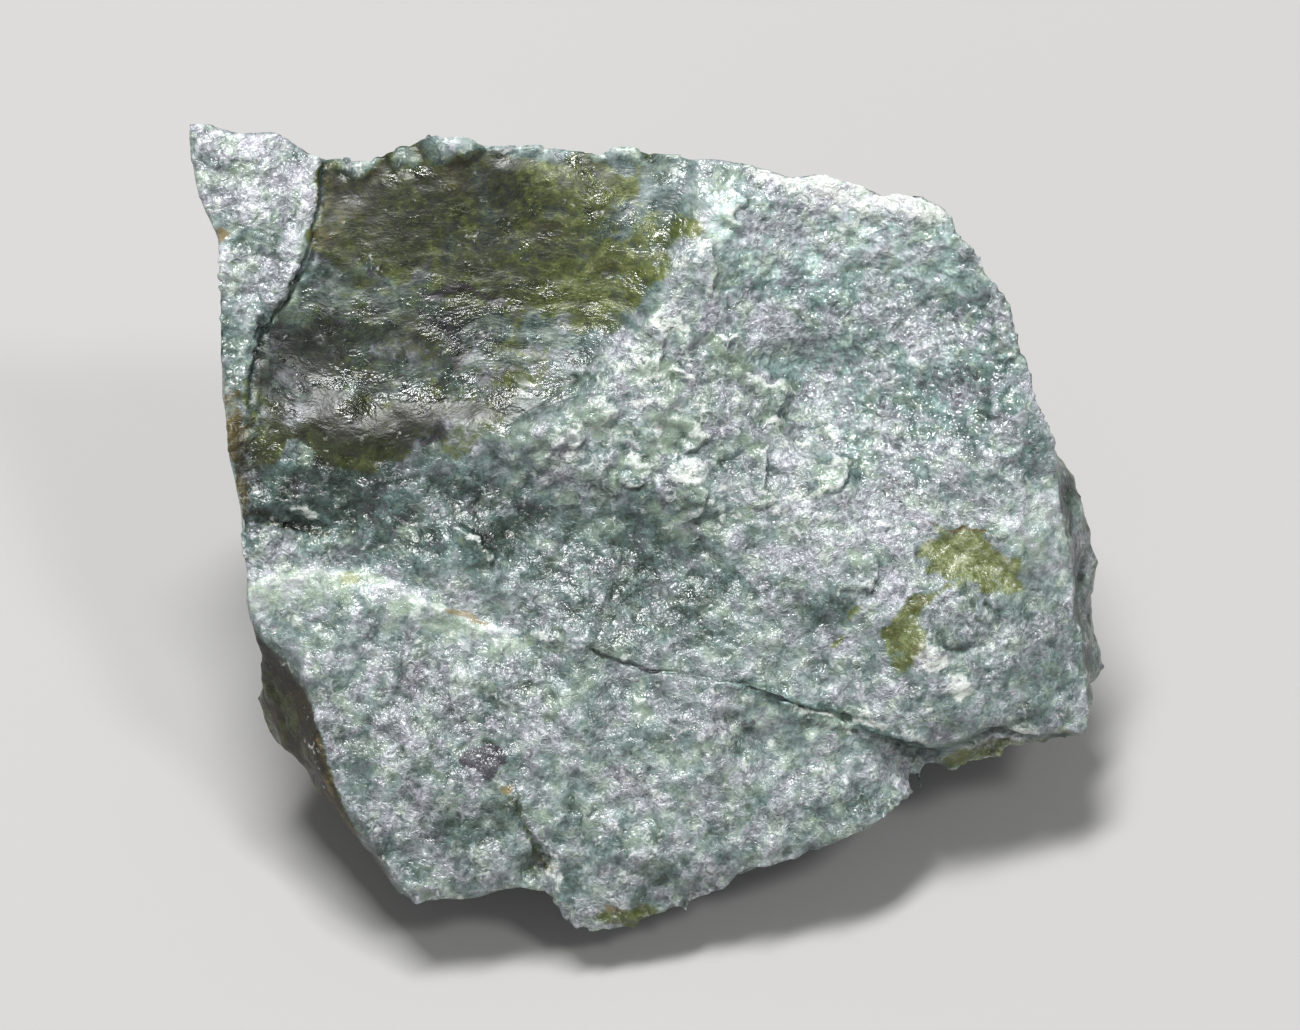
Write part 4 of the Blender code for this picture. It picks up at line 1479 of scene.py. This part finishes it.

        # Where it is bruised, and where pale crumbs lie. The top rim's crumbs and frost are partly the
        # stone's pale edge and partly painted highlight.
        frost = 0.54 + 0.22 * veil + 0.18 * spur - 0.20 * trough - 0.40 * step + 0.04 * bowl
        frost += 0.04 * crest + 0.9 * rim - 0.5 * riser - 0.4 * (stain + tail) - 0.3 * shoulder
        frost += 0.30 * blotch - 0.06 * lower - 0.45 * band - 0.40 * plate_low - 0.5 * green - 0.35 * body
        frost = frost * rough + slick * (0.20 * (1.0 - top) + 0.18 * fade)
        crumb = 0.12 + 0.28 * scales + 0.30 * crest * ease(5.5, 9.0, up) + 2.0 * rim + 0.25 * lip
        crumb += 0.02 * lower - 0.04 * bowl - 0.08 * step + 0.15 * drift + 0.6 * edge - 0.2 * body
        crumb *= rough * (1.0 - 0.8 * np.clip(riser + crack + 0.25 * stain, 0.0, 1.0))
        crumb += 0.9 * pale - 0.55 * bumps

        # Where weather stained it.
        coat = np.zeros(len(place))
        soft = OLIVE_WANDER.shift(place)
        for share, pool in OLIVE_POOLS:
            coat = np.maximum(coat, share * pool.cover(soft, 0.7))
        coat *= 1.0 - spur
        olive = coat * (1.0 + 0.25 * drift) * (1.0 - 0.9 * bumps)
        olive = np.maximum.reduce([olive, 0.78 * stain, 0.86 * tail, 0.6 * chip])
        for spot in OLIVE_SPOTS:
            olive = np.maximum(olive, 0.8 * spot.cover(spots))
        cracks = 0.7 * np.maximum(STAIN_LINE.near(spots), LEFT_CRACK.near(spots))
        olive = np.maximum.reduce([olive, cracks, 0.8 * HAIRLINE.near(close), 0.5 * PIT.inside(spots)])
        brown = ease(-0.2, 0.5, Noise(56).waves(points, 2.4, 2))
        rind = coat * brown * (0.50 * top + 0.25 * arc)
        rims = 0.85 * np.maximum(left_stain * rough, rim_stain)
        rind = np.maximum.reduce([rind * (1.0 - bumps), rims, 0.3 * chip, 0.34 * tail])
        violet = np.maximum.reduce([spot.inside(spots) for spot in VIOLET_SPOTS]) * 0.42
        violet = np.maximum.reduce([violet, 0.90 * PURPLE_SPOT.cover(spots), 0.66 * cuts])
        rust = np.maximum.reduce([spot.inside(spots) for spot in RUST_SPOTS])
        rust = np.maximum(rust, 0.9 * RUST_LINE.near(close))
        lime = 0.26 + 0.22 * scales + 0.3 * crest + 0.12 * lower + 0.6 * band - 0.15 * bowl - 0.1 * step
        lime += 0.5 * shoulder + 0.5 * body + 0.3 * green
        teal = np.clip(0.15 + 0.7 * bowl + 0.7 * step + 0.2 * trough + riser + crack, 0.0, 1.0)
        gloss = slick * (0.75 - 0.6 * top * ease(-4.0, -9.0, right) + 0.2 * fade - 0.7 * arc)
        gloss += 0.80 * bowl + 0.15 * spur + 0.6 * plate_low + 0.35 * rough
        return {
            Mark.TONE: tone,
            Mark.FROST: frost,
            Mark.LIME: lime,
            Mark.CRUMB: crumb,
            Mark.OLIVE: olive,
            Mark.RIND: rind,
            Mark.TEAL: teal * (1.0 - 0.7 * slick),
            Mark.VIOLET: violet,
            Mark.RUST: rust,
            Mark.STREAK: slick * 0.95,
            Mark.GLOSS: gloss,
        }

    def side_marks(self, place: np.ndarray, points: np.ndarray) -> dict[Mark, np.ndarray]:
        """The marks of the sides and back.

        Args:
            place: rows of (right, up, back).
            points: world positions in millimetres.

        Returns:
            Each mark's value at each point.
        """
        gap, side, _ = FACE_RIM.follow(place[:, :2])
        flank = ease(-0.2, 0.2, side) * ease(-3.0, -4.5, place[:, 1]) * ease(-6.0, -9.0, place[:, 0])
        drift = Noise(61).waves(points, 6.0, 3)
        along = np.column_stack([place[:, 1] * 0.3, gap, place[:, 2]])
        streak = Noise(65).waves(along, 0.6, 3)
        weathered = ease(0.1, 0.45, Noise(62).waves(points, 9.0, 3)) * ease(2.0, 6.0, place[:, 2])
        stained = np.clip(0.95 * flank + 0.75 * weathered * ease(-0.2, 0.4, drift), 0.0, 1.0)
        zero = np.zeros(len(points))
        tone = 0.46 - 0.10 * ease(16.0, 19.0, place[:, 0]) + 0.14 * drift - 0.36 * flank
        return {
            Mark.TONE: tone + (0.10 + 0.12 * flank) * streak,
            Mark.FROST: (0.36 + 0.2 * Noise(64).waves(points, 3.0, 3)) * (1.0 - stained),
            Mark.LIME: zero + 0.3,
            Mark.CRUMB: 0.16 * (1.0 - stained),
            Mark.OLIVE: np.clip(0.45 * weathered + flank, 0.0, 1.0),
            Mark.RIND: stained * (1.0 - flank * ease(-0.2, 0.3, streak) * ease(0.5, 1.6, gap)),
            Mark.TEAL: ease(0.0, 0.6, drift) * 0.6,
            Mark.VIOLET: ease(0.3, 0.8, Noise(63).waves(points, 2.8, 2)) * 0.3,
            Mark.RUST: 0.5 * flank * ease(1.5, 0.2, gap) * ease(0.0, 0.5, streak),
            Mark.STREAK: zero,
            Mark.GLOSS: zero + 0.2,
        }

    def dress(self, stone: bpy.types.Object) -> None:
        """Gives the stone its finish and a smooth shade.

        Args:
            stone: the mesh.
        """
        stone.data.materials.clear()
        stone.data.materials.append(self.finish.make())
        stone.data.polygons.foreach_set("material_index", np.zeros(len(stone.data.polygons), np.int32))
        stone.data.shade_smooth()


# ---------------------------------------------------------------- the studio


@dataclass
class Studio:
    """A plain pale floor, soft studio light, and the camera square on to the broad face."""

    face: BroadFace = field(default_factory=BroadFace)
    distance: float = 300.0
    frame_width: float = 65.0
    sensor: float = 36.0
    floor_size: float = 3.0

    def build(self) -> None:
        """Makes the floor, the lights and the camera."""
        self.floor()
        self.light("key", (-0.12, 0.14, 1.0), 0.42, (0.18, 0.07), 2.2)
        self.light("window", (0.50, -0.35, 1.0), 0.7, (0.12, 0.12), 1.1)
        self.light("fill", (-0.4, -1.0, 0.6), 0.9, (0.7, 0.7), 0.8)
        self.world(0.20)
        self.camera()

    def floor(self) -> None:
        """The floor, just under the stone."""
        bpy.ops.object.select_all(action="DESELECT")
        bpy.ops.mesh.primitive_plane_add(size=self.floor_size, location=(0.0, 0.0, -0.02 * MM))
        floor = bpy.context.object
        floor.name = "floor"
        shader = Shader("pale_floor")
        shader.surface.inputs["Base Color"].default_value = (0.46, 0.455, 0.45, 1.0)
        shader.surface.inputs["Roughness"].default_value = 0.9
        floor.data.materials.append(shader.material)

    def light(
        self,
        name: str,
        way: tuple[float, float, float],
        away: float,
        size: tuple[float, float],
        power: float,
    ) -> None:
        """Adds an area light that looks at the stone.

        Args:
            name: its name.
            way: the way to it from the stone.
            away: its distance in metres.
            size: its width and height in metres.
            power: its power in watts.
        """
        lamp = bpy.data.lights.new(name, "AREA")
        lamp.shape = "RECTANGLE"
        lamp.size, lamp.size_y = size
        lamp.energy = power
        holder = bpy.data.objects.new(name, lamp)
        bpy.context.scene.collection.objects.link(holder)
        middle = Vector(self.face.middle) * MM
        holder.location = middle + Vector(way).normalized() * away
        holder.rotation_euler = (middle - holder.location).to_track_quat("-Z", "Y").to_euler()

    def world(self, strength: float) -> None:
        """Adds even light from all round.

        Args:
            strength: its strength.
        """
        world = bpy.data.worlds.new("studio")
        world.use_nodes = True
        sky = world.node_tree.nodes["Background"]
        sky.inputs["Color"].default_value = (1.0, 1.0, 1.0, 1.0)
        sky.inputs["Strength"].default_value = strength
        bpy.context.scene.world = world

    def camera(self) -> None:
        """The camera, square on to the broad face."""
        lens = bpy.data.cameras.new("camera")
        lens.sensor_width = self.sensor
        lens.lens = self.sensor * self.distance / self.frame_width
        lens.clip_start = 0.01
        lens.clip_end = 10.0
        holder = bpy.data.objects.new("camera", lens)
        bpy.context.scene.collection.objects.link(holder)
        middle = Vector(self.face.middle) * MM
        holder.location = middle + self.face.out * self.distance * MM
        holder.rotation_euler = (-self.face.out).to_track_quat("-Z", "Y").to_euler()
        bpy.context.scene.camera = holder


def main() -> None:
    """Builds the stone and the studio."""
    stone = JadeStone().build()
    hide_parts(STONE_NODE)
    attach(stone, "root")
    log.info("%s: %d faces", stone.name, len(stone.data.polygons))
    Studio().build()
    bpy.context.scene.view_settings.view_transform = "Standard"
    log.info("studio: floor, lights and camera")


if __name__ == "__main__":
    main()
